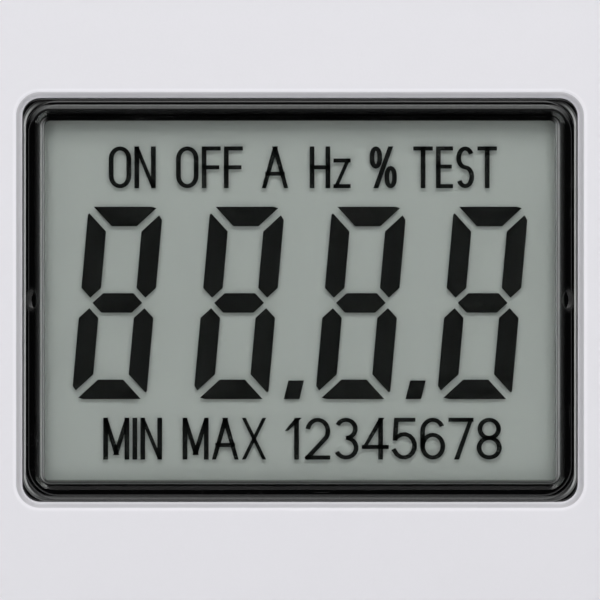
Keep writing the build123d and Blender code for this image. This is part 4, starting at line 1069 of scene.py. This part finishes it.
def add_area_lamp(name, place, target, width, height, power):
    """A soft box that shines at a target and isn't seen itself."""
    data = bpy.data.lights.new(name, "AREA")
    data.shape = "RECTANGLE"
    data.size = width
    data.size_y = height
    data.energy = power
    lamp = bpy.data.objects.new(name, data)
    lamp.location = place
    lamp.rotation_euler = (target - place).to_track_quat("-Z", "Y").to_euler()
    lamp.visible_camera = False
    bpy.context.scene.collection.objects.link(lamp)
    return lamp


def add_card(name, points, material):
    """A flat four-cornered piece of the studio."""
    mesh = bpy.data.meshes.new(name)
    mesh.from_pydata(points, [], [(0, 1, 2, 3)])
    mesh.materials.append(material)
    card = bpy.data.objects.new(name, mesh)
    bpy.context.scene.collection.objects.link(card)
    return card


def add_floor():
    """A plain pale floor, which fades to white with distance as overlit paper does."""
    material, wires, inputs = new_material("Pale floor", 0.75)
    tone = wires.noise(wires.place(), 12.0, 3.0)
    mottled = wires.blend(tone, (0.86, 0.86, 0.865, 1), (0.9, 0.9, 0.9, 1))
    wires.links.new(mottled, inputs["Base Color"])
    seen = wires.add("ShaderNodeLightPath").outputs["Is Camera Ray"]
    glow = wires.add("ShaderNodeEmission", {"Color": PURE_WHITE, "Strength": 1.0})
    far = wires.add("ShaderNodeVectorMath", {0: wires.place()}, operation="LENGTH")
    white = wires.window(far.outputs["Value"], fade_start, fade_end, NEAR_WHITE_SHARE)
    paper = wires.nodes["Principled BSDF"].outputs[0]
    mixed = wires.add("ShaderNodeMixShader", {0: wires.times(seen, white), 1: paper,
                                              2: glow.outputs[0]})
    wires.links.new(mixed.outputs[0], wires.nodes["Material Output"].inputs["Surface"])
    points = [(x * floor_half, y * floor_half, cad_box[0][2]) for x, y in SQUARE]
    floor = add_card("floor", points, material)


def add_dark_card(distance):
    """A dark card behind the camera, seen only in mirrors, so that black stays black."""
    material, _, inputs = new_material("Black velvet", 1.0)
    inputs["Base Color"].default_value = (0.002, 0.002, 0.002, 1)
    inputs["Specular IOR Level"].default_value = 0.0
    y = face_y - distance - card_behind
    points = [(x * card_half, y, window_centre.z + z * card_half) for x, z in SQUARE]
    card = add_card("dark_card", points, material)
    card.visible_camera = False
    card.visible_diffuse = False
    card.visible_transmission = False
    card.visible_shadow = False


def set_room(ambient):
    """World light: soft and even, and white where it is seen straight or through glass."""
    world = bpy.data.worlds.new("Studio room")
    bpy.context.scene.world = world
    world.use_nodes = True
    wires = Wiring(world.node_tree)
    wires.nodes.clear()
    path = wires.add("ShaderNodeLightPath").outputs
    seen = wires.most(path["Is Camera Ray"], path["Is Transmission Ray"])
    strength = wires.mix(seen, ambient, 1.0)
    shade = wires.add("ShaderNodeBackground", {"Color": PURE_WHITE, "Strength": strength})
    wires.add("ShaderNodeOutputWorld", {"Surface": shade.outputs[0]})


def set_camera(target, look):
    """A camera straight in front, whose picture takes in the width asked for."""
    data = bpy.data.cameras.new("camera")
    data.lens = data.sensor_width * look.camera_distance / look.view_width
    data.clip_start = 0.01
    camera = bpy.data.objects.new("camera", data)
    camera.location = target + Vector((0, -look.camera_distance, 0))
    camera.rotation_euler = (math.radians(90), 0, 0)
    bpy.context.scene.collection.objects.link(camera)
    bpy.context.scene.camera = camera


class EnergyMonitorStudio(bpy.types.Operator):
    """Sets the floor, the lamps, the room and the camera"""

    bl_idname = "energy_monitor.studio"
    bl_label = "Studio"

    def execute(self, context):
        look = context.scene.energy_monitor_studio
        target = Vector((0, face_y, window_centre.z))
        add_floor()
        add_dark_card(look.camera_distance)
        key = target + Vector((key_aside, -key_reach * math.cos(look.key_angle),
                               key_reach * math.sin(look.key_angle)))
        add_area_lamp("key", key, target, key_size, key_size, look.key_power)
        for name, place, width, height, power, mirrored in LAMPS:
            lamp = add_area_lamp(name, target + Vector(place), target, width, height,
                                 getattr(look, power))
            lamp.visible_glossy = mirrored
        set_room(look.ambient)
        set_camera(target, look)
        context.scene.view_settings.view_transform = "Standard"
        context.scene.cycles.transparent_max_bounces = 32
        return {"FINISHED"}


OPERATORS = (EnergyMonitorHousing, EnergyMonitorWindow, EnergyMonitorDisplay, EnergyMonitorSigns,
             EnergyMonitorButtons, EnergyMonitorSocket, EnergyMonitorMetal, EnergyMonitorBoard,
             EnergyMonitorStudio)
SETTINGS = {"energy_monitor_housing": HousingSettings, "energy_monitor_display": DisplaySettings,
            "energy_monitor_studio": StudioSettings}


class EnergyMonitorPanel(bpy.types.Panel):
    """Lists the settings and the steps in the sidebar"""

    bl_idname = "VIEW3D_PT_energy_monitor"
    bl_label = "Energy Monitor"
    bl_space_type = "VIEW_3D"
    bl_region_type = "UI"
    bl_category = "Energy Monitor"

    def draw(self, context):
        for name, settings in SETTINGS.items():
            group = getattr(context.scene, name)
            for prop in settings.__annotations__:
                self.layout.prop(group, prop)
        for operator in OPERATORS:
            self.layout.operator(operator.bl_idname)


def register():
    """Adds the settings, the steps and the panel to Blender."""
    for name, settings in SETTINGS.items():
        bpy.utils.register_class(settings)
        setattr(bpy.types.Scene, name, bpy.props.PointerProperty(type=settings))
    for operator in OPERATORS:
        bpy.utils.register_class(operator)
    bpy.utils.register_class(EnergyMonitorPanel)


def unregister():
    """Takes them out again."""
    bpy.utils.unregister_class(EnergyMonitorPanel)
    for operator in reversed(OPERATORS):
        bpy.utils.unregister_class(operator)
    for name, settings in SETTINGS.items():
        delattr(bpy.types.Scene, name)
        bpy.utils.unregister_class(settings)


def main():
    """Runs every step in order."""
    register()
    for operator in OPERATORS:
        group, name = operator.bl_idname.split(".")
        getattr(getattr(bpy.ops, group), name)()


if __name__ == "__main__":
    main()
